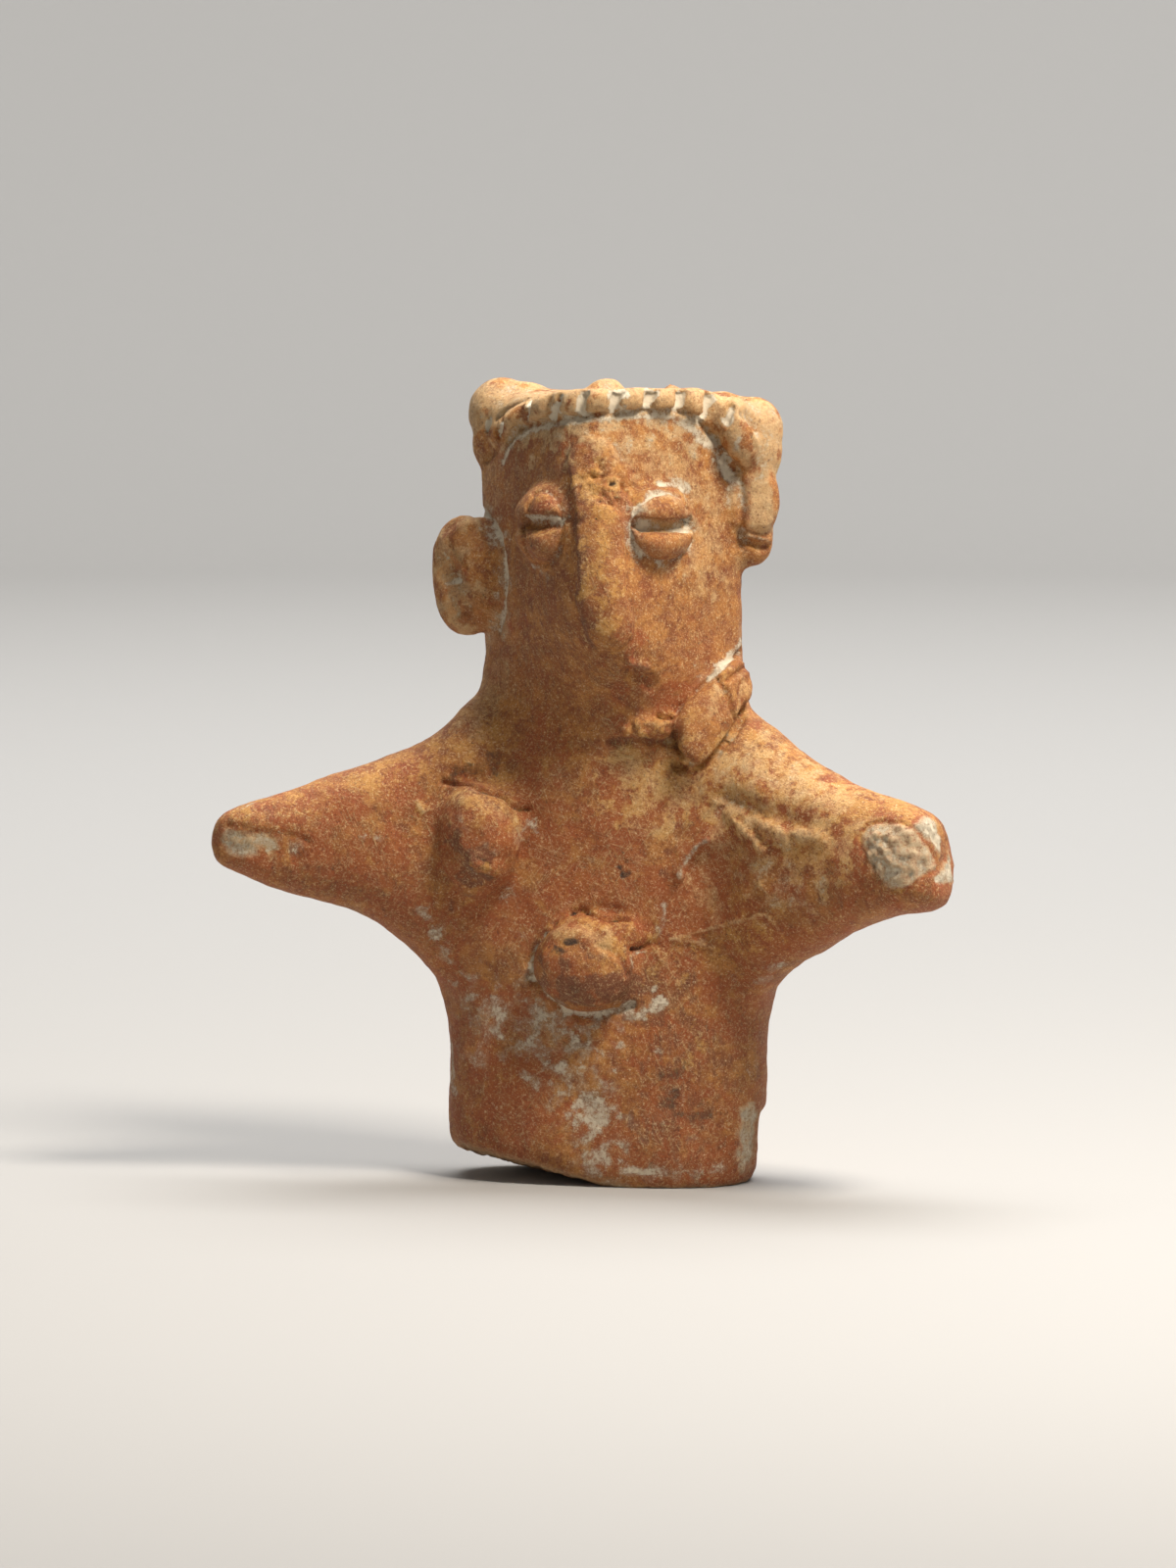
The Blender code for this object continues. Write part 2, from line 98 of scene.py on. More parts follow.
SEAM_GAP = 0.001 * MM
GRAIN = 0.36 * MM
HANDLING_PASSES = 15
HANDLING_SHARE = 0.5
TRIANGLES = 194000
# The cosine past which the clay counts as turned away from the camera
TURNED_AWAY = -0.15

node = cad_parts["terracotta_bust"]
form = bmesh.new()
form.from_mesh(node.data)
bmesh.ops.remove_doubles(form, verts=form.verts, dist=SEAM_GAP)
lump = bpy.data.meshes.new("lump")
form.to_mesh(lump)
solid_clay = BVHTree.FromBMesh(form)
form.free()
rough_bust = bpy.data.objects.new("rough bust", lump)
bpy.context.scene.collection.objects.link(rough_bust)
fine_clay = rough_bust.modifiers.new("fine clay", "REMESH")
fine_clay.mode = "VOXEL"
fine_clay.voxel_size = GRAIN
handled = rough_bust.modifiers.new("handled", "SMOOTH")
handled.factor = HANDLING_SHARE
handled.iterations = HANDLING_PASSES
graph = bpy.context.evaluated_depsgraph_get()
mesh = bpy.data.meshes.new_from_object(rough_bust.evaluated_get(graph))
bpy.data.objects.remove(rough_bust)
mesh.name = "bust"
bust = bpy.data.objects.new("bust", mesh)
bpy.context.scene.collection.objects.link(bust)

# The back, which carries no fine marks, is made of larger faces than the front
away = bust.vertex_groups.new(name="away from the camera")
for vertex in mesh.vertices:
    if vertex.normal.dot(toward_camera) < TURNED_AWAY:
        away.add([vertex.index], 1.0, "REPLACE")
coarser = bust.modifiers.new("larger faces behind", "DECIMATE")
coarser.vertex_group = away.name
coarser.ratio = TRIANGLES / sum(len(face.vertices) - 2 for face in mesh.polygons)
graph = bpy.context.evaluated_depsgraph_get()
fine_mesh = bpy.data.meshes.new_from_object(bust.evaluated_get(graph))
bust.modifiers.clear()
bust.vertex_groups.clear()
bust.data = fine_mesh
bpy.data.meshes.remove(mesh)
mesh = fine_mesh

count = len(mesh.vertices)
places = np.empty(count * 3)
outward = np.empty(count * 3)
mesh.vertices.foreach_get("co", places)
mesh.vertices.foreach_get("normal", outward)
places = places.reshape(-1, 3)
outward = outward.reshape(-1, 3)

# How far the clay is sunk at each point, in millimetres, and the deposits, stains and wear on it. The brown
# and dark marks also carry painted shade, and the pale ones painted highlights.
sunk = np.zeros(count)
masks = {name: np.zeros(count) for name in ("lime", "pale", "ochre", "red", "brown", "dark", "broken")}

# The headband
# A roll of clay laid along the forehead's top edge and nicked across with a blade. The nicks and the
# groove below the roll are still packed with white lime from the soil.


def seen(x, y):
    """The place on the clay that this pixel of the photograph shows."""
    right = (x - PICTURE_WIDTH / 2) / PIXELS_PER_MM * MM
    up = (PICTURE_HEIGHT / 2 - y) / PIXELS_PER_MM * MM
    through = (aim + rightward * right + upward * up - lens_point).normalized()
    place = solid_clay.ray_cast(lens_point, through)[0]
    if place is None:
        place = solid_clay.find_nearest(lens_point + through * CAMERA_DISTANCE)[0]
    return np.array(place)


# How closely a stroke follows the clay's curves between the pixels that it is given
PIXEL_STEP = 5
# Keeps the run of a single spot from being nothing
SHORTEST_RUN = 1e-12


def stroke(pixels, reach, edge=None, ragged=None):
    """How much of a stroke lies on each point of the clay: 1 along it, 0 past its reach, in millimetres.
    Uneven values about 0 make its outline ragged."""
    walk = [pixels[0]]
    for (x0, y0), (x1, y1) in zip(pixels, pixels[1:]):
        steps = max(1, round(math.hypot(x1 - x0, y1 - y0) / PIXEL_STEP))
        walk += [(x0 + (x1 - x0) * i / steps, y0 + (y1 - y0) * i / steps) for i in range(1, steps + 1)]
    spots = [seen(*pixel) for pixel in walk]
    low, high = np.min(spots, axis=0) - 2 * reach * MM, np.max(spots, axis=0) + 2 * reach * MM
    close = np.flatnonzero(np.all((places > low) & (places < high), axis=1))
    gap = np.full(len(close), np.inf)
    for start, end in zip(spots, spots[1:] or spots):
        run = end - start
        share = np.clip((places[close] - start) @ run / max(run @ run, SHORTEST_RUN), 0, 1)
        gap = np.minimum(gap, np.linalg.norm(places[close] - start - share[:, None] * run, axis=1))
    if ragged is not None:
        gap += ragged[close] * reach * MM
    inside = np.clip((reach - gap / MM) / (edge or reach), 0, 1)
    weight = np.zeros(count)
    weight[close] = inside * inside * (3 - 2 * inside)
    return weight


# The cosine above which the clay is turned enough to the camera to be seen, and how far off the clay
# the line back to the camera starts
LEAST_TURN = 0.05
CLEAR_OF_CLAY = 1.2 * MM


def pictured():
    """Where each point of the clay lies in the photograph, in pixels, and whether it is seen there."""
    depth = -(places - np.array(lens_point)) @ np.array(toward_camera)
    scale = CAMERA_DISTANCE / depth / MM * PIXELS_PER_MM
    x = PICTURE_WIDTH / 2 + (places - np.array(aim)) @ np.array(rightward) * scale
    y = PICTURE_HEIGHT / 2 - (places - np.array(aim)) @ np.array(upward) * scale
    visible = outward @ np.array(toward_camera) > LEAST_TURN
    for i in np.flatnonzero(visible):
        start = Vector(places[i]) + toward_camera * CLEAR_OF_CLAY
        visible[i] = solid_clay.ray_cast(start, toward_camera)[0] is None
    return x, y, visible


picture_x, picture_y, in_view = pictured()


def patch(pixels, edge):
    """1 on the clay inside an outline in the photograph, falling to 0 at it over an edge in millimetres."""
    inside = np.zeros(count, bool)
    gap = np.full(count, np.inf)
    for (x0, y0), (x1, y1) in zip(pixels, pixels[1:] + pixels[:1]):
        spans = (y0 > picture_y) != (y1 > picture_y)
        if y0 != y1:
            crossing = x0 + (picture_y - y0) * (x1 - x0) / (y1 - y0)
            inside ^= spans & (picture_x < crossing)
        run_x, run_y = x1 - x0, y1 - y0
        share = ((picture_x - x0) * run_x + (picture_y - y0) * run_y) / (run_x**2 + run_y**2)
        share = np.clip(share, 0, 1)
        gap = np.minimum(gap, np.hypot(picture_x - x0 - share * run_x, picture_y - y0 - share * run_y))
    depth = np.clip(gap / PIXELS_PER_MM / edge, 0, 1)
    return np.where(inside & in_view, depth, 0.0)


# How far each seed moves the noise along the three axes
SEED_STEPS = (7.3, 3.1, 5.7)


def speckle(size, seed, octaves=1):
    """Uneven values about 0 over the clay, in swells of this many millimetres."""
    shift = Vector([seed * step for step in SEED_STEPS])
    values = np.zeros(count)
    for octave in range(octaves):
        scale = 2**octave / (size * MM)
        values += [noise.noise(Vector(place) * scale + shift) / 2**octave for place in places]
    return values


RAGGED_SHARE = 0.8
RAGGED_PIXELS = 7

ragged_outline = speckle(size=1.7, seed=9, octaves=3) * RAGGED_SHARE
picture_x += ragged_outline * RAGGED_PIXELS


def cut(reach, depth, *lines, edge=None, uneven=0.4):
    """Grooves along lines of pixels, given by half width and depth in millimetres. A negative depth
    leaves a ridge."""
    global sunk
    for pixels in lines:
        mark = stroke(pixels, reach, edge, ragged_outline * uneven) * depth
        deeper = np.where(np.abs(mark) > np.abs(sunk), mark, sunk)
        sunk = np.where(mark * sunk < 0, sunk + mark, deeper)


def tint(name, strength, reach, *lines, edge=None, uneven=1.2):
    """A deposit, stain or wear along lines of pixels, given by its strength and half width."""
    for pixels in lines:
        covering = stroke(pixels, reach, edge, ragged_outline * uneven) * strength
        masks[name] = np.maximum(masks[name], covering)


def tint_patch(name, strength, edge, *outlines):
    """A deposit, stain or break inside outlines of pixels, given by its strength and soft edge."""
    for pixels in outlines:
        masks[name] = np.maximum(masks[name], patch(pixels, edge) * strength)


# Half width in millimetres, and the pixels that each nick runs through
BAND_NICKS = (
    (0.24, ((500, 431), (497, 438))),
    (0.36, ((512, 427), (509, 437), (508, 446))),
    (0.38, ((540, 408), (537, 418), (534, 428))),
    (0.48, ((569, 406), (565, 415), (563, 425))),
    (0.36, ((598, 402), (595, 410), (593, 418))),
    (0.55, ((632, 398), (628, 408), (627, 418))),
    (0.48, ((667, 398), (664, 404), (661, 412))),
    (0.5, ((695, 400), (693, 406), (691, 413))),
    (0.4, ((724, 404), (720, 414), (718, 427))),
    (0.42, ((746, 415), (743, 422), (740, 431))),
)
NICK_DEPTH = 0.7
NICK_BEVEL = 0.4
NICK_LIME_SPILL = 0.35
BAND_LOWER_EDGE = (
    (519, 450), (526, 439), (545, 433), (565, 429), (585, 427), (605, 424), (625, 422),
    (650, 420), (680, 420), (700, 421), (712, 428), (722, 440), (733, 452), (742, 467),
)
BAND_GROOVE_LEFT = (
    (513, 472), (518, 460), (527, 447), (540, 440), (560, 435), (575, 432), (600, 429), (625, 427),
    (650, 425), (680, 424),
)
BAND_GROOVE_RIGHT = ((680, 425), (695, 428), (708, 438), (722, 453), (733, 468), (741, 482), (748, 494))
BAND_END_CHIP = ((752, 441), (761, 444), (758, 455), (752, 465), (744, 461), (748, 450))
BUN_CREASES = (
    ((757, 421), (763, 432), (768, 445), (771, 459)),
    ((507, 427), (520, 416), (538, 407)),
)
CROWN_WEAR = (((585, 393), (600, 388), (620, 388)), ((690, 398), (708, 394)))
HAIR_TOP = ((480, 410), (520, 408), (600, 400), (680, 402), (740, 410), (775, 425), (785, 450))
BUN_LIME = (((511, 399), (518, 402)), ((530, 405), (538, 404)))
HEAD_EDGE_LIME = ((484, 450), (488, 458), (493, 467))

for half_width, pixels in BAND_NICKS:
    cut(half_width + NICK_BEVEL, NICK_DEPTH, pixels, edge=0.6, uneven=0.15)
    tint("lime", 1.7, half_width + NICK_LIME_SPILL, pixels, edge=0.4)
cut(0.7, 0.7, BAND_LOWER_EDGE)
# The headband's shadow is painted dark and brown along the groove under its lower edge.
tint("dark", 0.55, 0.45, BAND_LOWER_EDGE)
tint("brown", 0.6, 0.9, BAND_LOWER_EDGE)
cut(0.6, 0.15, BAND_GROOVE_LEFT)
tint("lime", 1.15, 0.7, BAND_GROOVE_LEFT, uneven=0.3)
tint("lime", 0.5, 1.8, BAND_GROOVE_LEFT)
tint("lime", 1.0, 1.7, BAND_GROOVE_RIGHT, uneven=0.6)
tint("lime", 0.55, 3.8, BAND_GROOVE_RIGHT)
tint_patch("broken", 0.8, 0.3, BAND_END_CHIP)
tint_patch("lime", 0.92, 0.3, BAND_END_CHIP)
cut(0.45, 0.5, *BUN_CREASES)
tint("dark", 0.5, 0.4, *BUN_CREASES)
tint("lime", 0.6, 0.4, BUN_CREASES[0])
tint("lime", 0.6, 0.7, *BUN_LIME)
tint("pale", 0.95, 7.5, HAIR_TOP, edge=4)
tint("lime", 0.54, 7.0, HAIR_TOP, edge=4)
tint("pale", 0.95, 5.0, *CROWN_WEAR, edge=3)
tint("lime", 0.5, 5.0, *CROWN_WEAR)
tint("lime", 0.6, 0.5, HEAD_EDGE_LIME)

# The eyes
# Round pellets of clay pressed onto the face and slit across with a blade, the figure's left one wide
# open. Lime rings them where they meet the face and lines the slits.

EYE_RIM = (
    (642, 532), (650, 515), (665, 505), (680, 501), (695, 507), (705, 520), (709, 540), (707, 555),
    (698, 566), (685, 573), (670, 574), (655, 566), (645, 553), (642, 532),
)
FAR_EYE_RIM = (
    (533, 545), (534, 560), (540, 571), (550, 577), (562, 575), (570, 563), (573, 545), (573, 520),
    (566, 506), (555, 499), (545, 503), (538, 517), (533, 545),
)
# Each rim, and the strength of the lime in it and around it
EYE_RIM_LIME = ((EYE_RIM, 0.75, 0.5), (FAR_EYE_RIM, 0.3, 0.3))
# Height in millimetres, and pixels
EYE_LOBES = (
    (0.2, ((662, 517), (675, 513), (690, 515))),
    (0.55, ((662, 556), (675, 560), (690, 557))),
    (0.25, ((555, 508), (557, 510))),
    (0.5, ((551, 559), (554, 561))),
)
EYE_LOBE_REACH = 2.4
# Half width and depth in millimetres, and pixels
EYE_SLIT_PASSES = (
    (0.9, 0.6, ((649, 533), (706, 536))),
    (1.1, 0.7, ((656, 535), (701, 537))),
    (0.55, 1.1, ((702, 531), (706, 533))),
)
EYE_TOP_LIME = ((648, 517), (660, 506), (675, 498), (690, 493), (702, 504))
EYE_SLIT_LIME = ((655, 538), (666, 538), (684, 540), (706, 541))
EYE_SLIT_SHADE = ((656, 530), (680, 529), (700, 530))
EYE_CORNER = ((700, 531), (705, 533))
EYE_LOWER_LINE = ((676, 543), (696, 543))
EYE_BOTTOM_LIME = ((648, 560), (660, 571), (675, 577), (690, 574), (703, 563))
FAR_EYE_SLIT = ((537, 531), (570, 532))
FAR_EYE_SLIP = ((551, 508), (560, 510))
FAR_EYE_LOWER_LIP = ((546, 543), (562, 543))
FAR_EYE_SHADE = ((540, 549), (543, 556))
FAR_EYE_BOTTOM_LIME = ((545, 578), (556, 580))
FAR_EYE_DRIP = ((550, 578), (556, 583))

for height, lobe in EYE_LOBES:
    cut(EYE_LOBE_REACH, -height, lobe, uneven=0)
for rim, lime_in_it, lime_around in EYE_RIM_LIME:
    cut(0.6, 0.55, rim, uneven=0.15)
    tint("lime", lime_in_it, 0.8, rim)
    tint("lime", lime_around, 2.2, rim)
for half_width, depth, pixels in EYE_SLIT_PASSES:
    cut(half_width, depth, pixels, edge=0.4, uneven=0)
cut(1.15, 0.65, FAR_EYE_SLIT, edge=0.45, uneven=0)
cut(0.3, 0.2, EYE_LOWER_LINE)
tint("pale", 1.5, 1.3, EYE_SLIT_LIME, uneven=0.1)
tint("lime", 1.1, 0.92, EYE_SLIT_LIME, uneven=0.5)
# Painted shade: a painted shadow of the upper lid along the top of the slit, and the slit's deep end
# painted dark.
tint("dark", 0.7, 0.45, EYE_SLIT_SHADE, uneven=0.4)
tint("dark", 1.0, 0.6, EYE_CORNER)
tint("lime", 0.85, 1.3, FAR_EYE_SLIT, uneven=0.3)
tint("dark", 0.45, 1.2, FAR_EYE_SLIT, edge=0.5, uneven=0.3)
tint("red", 0.9, 1.6, FAR_EYE_SLIP)
tint("lime", 0.9, 1.3, EYE_TOP_LIME)
tint("lime", 0.7, 0.4, EYE_BOTTOM_LIME)
tint("lime", 0.7, 0.6, FAR_EYE_BOTTOM_LIME)
tint("ochre", 0.9, 0.5, FAR_EYE_LOWER_LIP)
# Painted shade on the far eye's lower lobe, at its outer end.
tint("dark", 0.9, 0.9, FAR_EYE_SHADE)
tint("lime", 0.8, 1.2, FAR_EYE_DRIP)

# The face
# The clay was pinched forward into a long crest between two flat planes. The crest has lost its skin,
# which bares ochre clay full of pits, and the plane on the figure's right is stained brown in streaks and
# painted darker as shade, as is the clay under the crest's lower end.

CREST = ((604, 470), (612, 520), (614, 570), (612, 610), (622, 640))
CREST_SHADE = ((583, 445), (588, 500), (592, 560), (594, 610), (603, 650))
CREST_RIPPLES = ((612, 490), (632, 505))
# Half width and depth in millimetres, and the pixel. The pits past the face are strewn over the body.
PITS = (
    (0.4, 0.45, (627, 509)),
    (0.25, 0.3, (609, 530)),
    (0.35, 0.35, (604, 537)),
    (0.35, 0.3, (632, 487)),
    (0.35, 0.35, (624, 493)),
    (0.3, 0.3, (638, 498)),
    (0.3, 0.25, (617, 492)),
    (0.22, 0.3, (641, 573)),
    (0.25, 0.25, (655, 471)),
    (0.25, 0.25, (612, 512)),
    (0.25, 0.3, (698, 641)),
    (0.25, 0.3, (707, 646)),
    (0.4, 0.35, (636, 878)),
    (0.25, 0.3, (634, 891)),
    (0.25, 0.3, (599, 1096)),
    (0.25, 0.3, (528, 1084)),
    (0.25, 0.25, (296, 864)),
    (0.22, 0.25, (362, 792)),
    (0.2, 0.25, (365, 872)),
    (0.3, 0.3, (955, 848)),
    (0.3, 0.3, (739, 755)),
)
FOREHEAD_LINES = (((592, 438), (625, 437), (654, 437)), ((600, 432), (650, 431)))
FOREHEAD_SPOTS = ((667, 443), (641, 461))
FOREHEAD_PAINTED_SHADE = ((548, 462), (562, 456), (574, 462))
FOREHEAD_POWDER = ((605, 452), (630, 462))
FOREHEAD_AND_CHEEK = ((620, 455), (690, 470), (720, 520), (720, 580))
HEAD_SIDE = (((500, 640), (500, 680), (480, 730)), ((500, 460), (505, 490)))
CHEEK_OCHRE = ((655, 590), (700, 590), (730, 600))
CHEEK_SCRATCHES = (((697, 586), (696, 598)), ((660, 617), (653, 626)), ((650, 608), (642, 604)))
CHIN_LEDGE = ((643, 676), (650, 677), (659, 682))
CHIN_HOLLOW = ((641, 686), (654, 690), (664, 698))
CHIN_SLIP = ((640, 700), (690, 715))
BROWN_STREAKS = (
    ((525, 480), (530, 600), (545, 700)),
    ((560, 450), (560, 600), (570, 700)),
    ((600, 665), (630, 690), (640, 720)),
)
TEMPLE_SCAR = ((579, 530), (592, 533))
TEMPLE_LINE = ((566, 542), (592, 543))

cut(3.4, -0.55, CREST, edge=0.8, uneven=0.1)
tint("ochre", 0.84, 4.4, CREST)
tint("ochre", 0.95, 2.2, CREST)
# Painted shade, in brown and dark, along the edge of the plane on the figure's right, beside the crest.
tint("brown", 1.0, 2.4, CREST_SHADE)
tint("dark", 0.3, 1.6, CREST_SHADE)
# The pale over the forehead and cheek is partly worn clay and partly a painted highlight where the light
# falls strongest.
tint("pale", 0.72, 8, FOREHEAD_AND_CHEEK)
tint("pale", 0.6, 8, *HEAD_SIDE)
tint("ochre", 0.45, 7, CHEEK_OCHRE)
tint("lime", 0.45, 4, FOREHEAD_POWDER)
for reach, depth, pixel in PITS:
    cut(reach, depth, (pixel,))
    tint("dark", 1.0, reach, (pixel,))
cut(0.3, 0.14, *FOREHEAD_LINES)
tint("lime", 0.55, 0.25, FOREHEAD_LINES[0])
for pixel in FOREHEAD_SPOTS:
    tint("lime", 0.9, 0.45, (pixel,))
cut(0.9, -0.6, CHIN_LEDGE)
tint("lime", 0.5, 0.5, CHIN_LEDGE)
cut(1.4, 0.6, CHIN_HOLLOW)
# Painted shade in the hollow under the chin ledge.
tint("dark", 0.4, 1.2, CHIN_HOLLOW)
cut(0.25, -0.1, *CHEEK_SCRATCHES)
tint("lime", 0.7, 0.25, *CHEEK_SCRATCHES)
# The brown streaks are partly stain and partly painted shade on the plane turned from the light and under
# the crest's end.
tint("brown", 0.6, 6.5, *BROWN_STREAKS)
tint("red", 0.55, 4.5, CHIN_SLIP)
# Painted shade at the top of the plane on the figure's right, beside the crest.
tint("dark", 0.35, 2.4, FOREHEAD_PAINTED_SHADE)
cut(0.7, 0.25, TEMPLE_SCAR)
tint("dark", 0.6, 1.0, TEMPLE_SCAR)
cut(0.25, -0.12, TEMPLE_LINE)
crest_ripples = stroke(CREST_RIPPLES, 3.0, edge=1.6)
tint("dark", 0.3, 2.6, CREST_RIPPLES)

# The ears
# On the figure's right a whole disc, pressed on, with lime in the groove where it joins the head. On its
# left a lug that has broken short, with a grainy break and a ledge.

EAR_GROOVE = (
    (490, 520), (503, 532), (511, 548), (515, 565), (517, 585), (516, 605), (513, 625), (509, 645),
)
EAR_FACE = ((455, 565), (460, 620))
EAR_CREASE = ((459, 554), (464, 565), (470, 572), (476, 580))
EAR_HOLLOW = ((455, 575), (462, 600), (470, 620))
EAR_LIP = ((452, 552), (470, 538), (490, 530))
EAR_CHIP = ((450, 594), (458, 590), (468, 588), (468, 595), (457, 599), (455, 605))
EAR_LIME = (((457, 557), (459, 570), (464, 582)), ((470, 542), (485, 545)), ((498, 551), (501, 556)))
LUG_LEDGE = ((760, 545), (775, 549), (790, 552))
LUG_BREAK = ((762, 488), (786, 480), (792, 500), (792, 545), (775, 548), (761, 544))
LUG_UNDERCUT = ((762, 553), (778, 558), (790, 558))
LUG_UNDERCUT_SHADE = ((762, 552), (778, 557))
LUG_GROOVE = ((756, 492), (757, 520), (756, 556))
LUG_LIME = ((758, 495), (762, 520), (760, 560))

cut(0.75, 0.4, EAR_GROOVE)
tint("lime", 0.9, 1.2, EAR_GROOVE, uneven=0.6)
tint("lime", 0.6, 3.4, EAR_GROOVE)
cut(2.4, 0.55, EAR_HOLLOW, edge=1.6, uneven=0.3)
cut(1.2, -0.3, EAR_LIP, uneven=0.3)
tint("pale", 0.8, 1.6, EAR_LIP)
tint("pale", 0.8, 6.0, EAR_FACE)
tint("lime", 0.45, 6.0, EAR_FACE)
cut(0.5, 0.3, EAR_CREASE)
tint("dark", 0.45, 0.5, EAR_CREASE)
tint_patch("lime", 1.0, 0.25, EAR_CHIP)
tint("lime", 0.5, 0.8, *EAR_LIME)
cut(0.6, -0.4, LUG_LEDGE, uneven=0.15)
tint("lime", 0.8, 0.35, LUG_LEDGE)
cut(0.8, 0.5, LUG_UNDERCUT)
cut(0.8, 0.6, LUG_GROOVE)
# Painted shadow under the lug's ledge.
tint("dark", 0.5, 0.6, LUG_UNDERCUT_SHADE)
tint_patch("broken", 0.3, 0.6, LUG_BREAK)
tint_patch("pale", 1.0, 0.8, LUG_BREAK)
tint("lime", 0.55, 1.0, LUG_LIME)

# The collar
# What is left of a flattened roll round the neck, on the figure's left. Two lines were incised across it.
# Its inner end has torn away and left a scar, and lime fills the angle above it.

COLLAR_UPPER_EDGE = (
    (757, 664), (745, 673), (735, 686), (722, 696), (711, 706), (700, 717), (690, 727),
)
COLLAR_LOWER_EDGE = (
    (760, 723), (755, 736), (743, 753), (729, 769), (716, 780), (702, 785), (690, 781),
)
COLLAR_BODY = (
    ((752, 692), (746, 712), (732, 735), (716, 757), (707, 767)),
    ((738, 698), (720, 718), (706, 745)),
)
COLLAR_CUTS = (((763, 679), (750, 688), (740, 695)), ((732, 693), (738, 704), (743, 718), (746, 733)))
COLLAR_CUT_LIME = ((734, 703), (739, 716), (741, 730))
COLLAR_WEDGE = ((756, 655), (750, 665), (741, 675), (731, 686), (724, 692))
COLLAR_HOLE = ((672, 731), (680, 733), (686, 732))
COLLAR_SCAR = (((650, 740), (668, 738), (688, 737)), ((640, 748), (660, 746), (680, 745)))
SCAR_LOWER_EDGE = ((622, 756), (650, 754), (672, 757), (692, 758))
COLLAR_TORN_END = ((689, 748), (692, 760), (698, 771), (703, 781))
COLLAR_TORN_SHADE = ((694, 762), (700, 772))
COLLAR_STREAK = ((719, 722), (718, 745), (722, 766))
COLLAR_OCHRE = (((745, 700), (750, 715)), ((710, 720), (715, 750)))
COLLAR_WEAR = (((730, 706), (722, 728), (712, 750)), ((756, 690), (757, 708), (748, 726)))

cut(2.9, -0.65, *COLLAR_BODY, edge=0.9, uneven=0.1)
cut(0.6, 0.7, COLLAR_UPPER_EDGE, uneven=0.15)
tint("lime", 0.6, 0.4, COLLAR_UPPER_EDGE)
cut(0.9, 1.2, COLLAR_LOWER_EDGE, edge=0.6, uneven=0.15)
# Painted shadow along the collar's lower edge.
tint("dark", 0.55, 0.45, COLLAR_LOWER_EDGE)
cut(0.5, 0.75, *COLLAR_CUTS, edge=0.35, uneven=0.1)
tint("dark", 0.4, 0.3, *COLLAR_CUTS)
tint("lime", 0.5, 0.3, COLLAR_CUT_LIME)
tint("lime", 1.2, 1.2, COLLAR_WEDGE, uneven=0.6)
tint("lime", 0.55, 2.6, COLLAR_WEDGE)
cut(0.55, 1.0, COLLAR_HOLE)
tint("dark", 0.8, 0.5, COLLAR_HOLE)
cut(1.3, -0.7, *COLLAR_SCAR, uneven=0.9)
tint("ochre", 0.9, 1.4, *COLLAR_SCAR)
tint("pale", 0.8, 0.7, COLLAR_SCAR[0])
cut(0.9, 0.45, SCAR_LOWER_EDGE, uneven=0.9)
# Painted shadow, in brown and dark, under the scar's ledge.
tint("brown", 0.9, 1.6, SCAR_LOWER_EDGE)
tint("dark", 0.5, 0.8, SCAR_LOWER_EDGE)
cut(0.8, 0.9, COLLAR_TORN_END, edge=0.6)
# Painted shade in the recess at the collar's torn end.
tint("dark", 0.55, 1.0, COLLAR_TORN_SHADE)
tint("lime", 0.35, 0.35, COLLAR_STREAK)
tint("ochre", 0.8, 2.4, *COLLAR_OCHRE)
tint("pale", 0.75, 1.4, *COLLAR_WEAR)

# The chest
# Burnished clay, rubbed and scratched. A breast is left on the figure's right. The other has come off,
# which leaves a red scar with a pale lip and torn ridges above it.

# Reach and depth in millimetres, and pixels
BREAST_PLANES = (
    (4.4, -1.1, ((482, 820), (505, 836), (514, 854))),
    (2.8, 0.9, ((456, 866), (466, 886), (484, 902))),
    (2.4, -0.5, ((490, 880), (506, 884))),
)
BREAST_CRACK = (
    (452, 797), (463, 800), (478, 801), (490, 808), (500, 811), (507, 811), (515, 815), (522, 823),
    (530, 826), (539, 826),
)
BREAST_LIP = ((458, 804), (477, 807), (490, 813), (507, 815), (517, 822))
BREAST_STAIN = ((464, 790), (485, 785), (497, 776))
BREAST_OCHRE = ((474, 818), (500, 828), (522, 842))
BREAST_WEAR = ((474, 818), (500, 828), (520, 840))
BREAST_RIDGE = ((471, 832), (475, 846), (484, 855), (495, 861), (506, 870))
BREAST_SIDE = ((449, 845), (446, 870), (453, 892), (465, 908))
BREAST_UNDERSIDE = (((460, 855), (475, 868), (490, 874)), ((470, 885), (485, 898)))
NIPPLE = ((480, 882), (495, 884))
NIPPLE_CREASE = ((486, 875), (499, 880))
NIPPLE_SHADE = ((480, 890), (500, 897))
BREAST_LIME = (((520, 860), (530, 849), (541, 840)), ((538, 838), (544, 846)))
BREAST_SPOTS = (((535, 848), (538, 857)), ((508, 878), (518, 881)), ((527, 875), (530, 874)))
SCAR_LIP = ((693, 894), (695, 886), (700, 879), (705, 871), (712, 863), (722, 857))
SCAR_RED = ((718, 878), (720, 925))
# Half width and height in millimetres, and pixels
TORN_RIDGES = (
    (1.3, 0.26, ((734, 819), (757, 830), (776, 841), (800, 848), (835, 855))),
    (0.9, 0.25, ((750, 838), (767, 856), (777, 869))),
    (0.3, 0.14, ((690, 958), (713, 962), (727, 967))),
    (0.3, 0.12, ((683, 958), (730, 946), (768, 936))),
    (0.32, 0.16, ((768, 935), (779, 932), (787, 938), (796, 950))),
    (0.28, 0.1, ((665, 965), (680, 985), (692, 1003))),
    (0.3, 0.16, ((427, 821), (432, 829), (439, 826))),
    (0.3, 0.14, ((777, 903), (783, 911), (793, 912))),
)
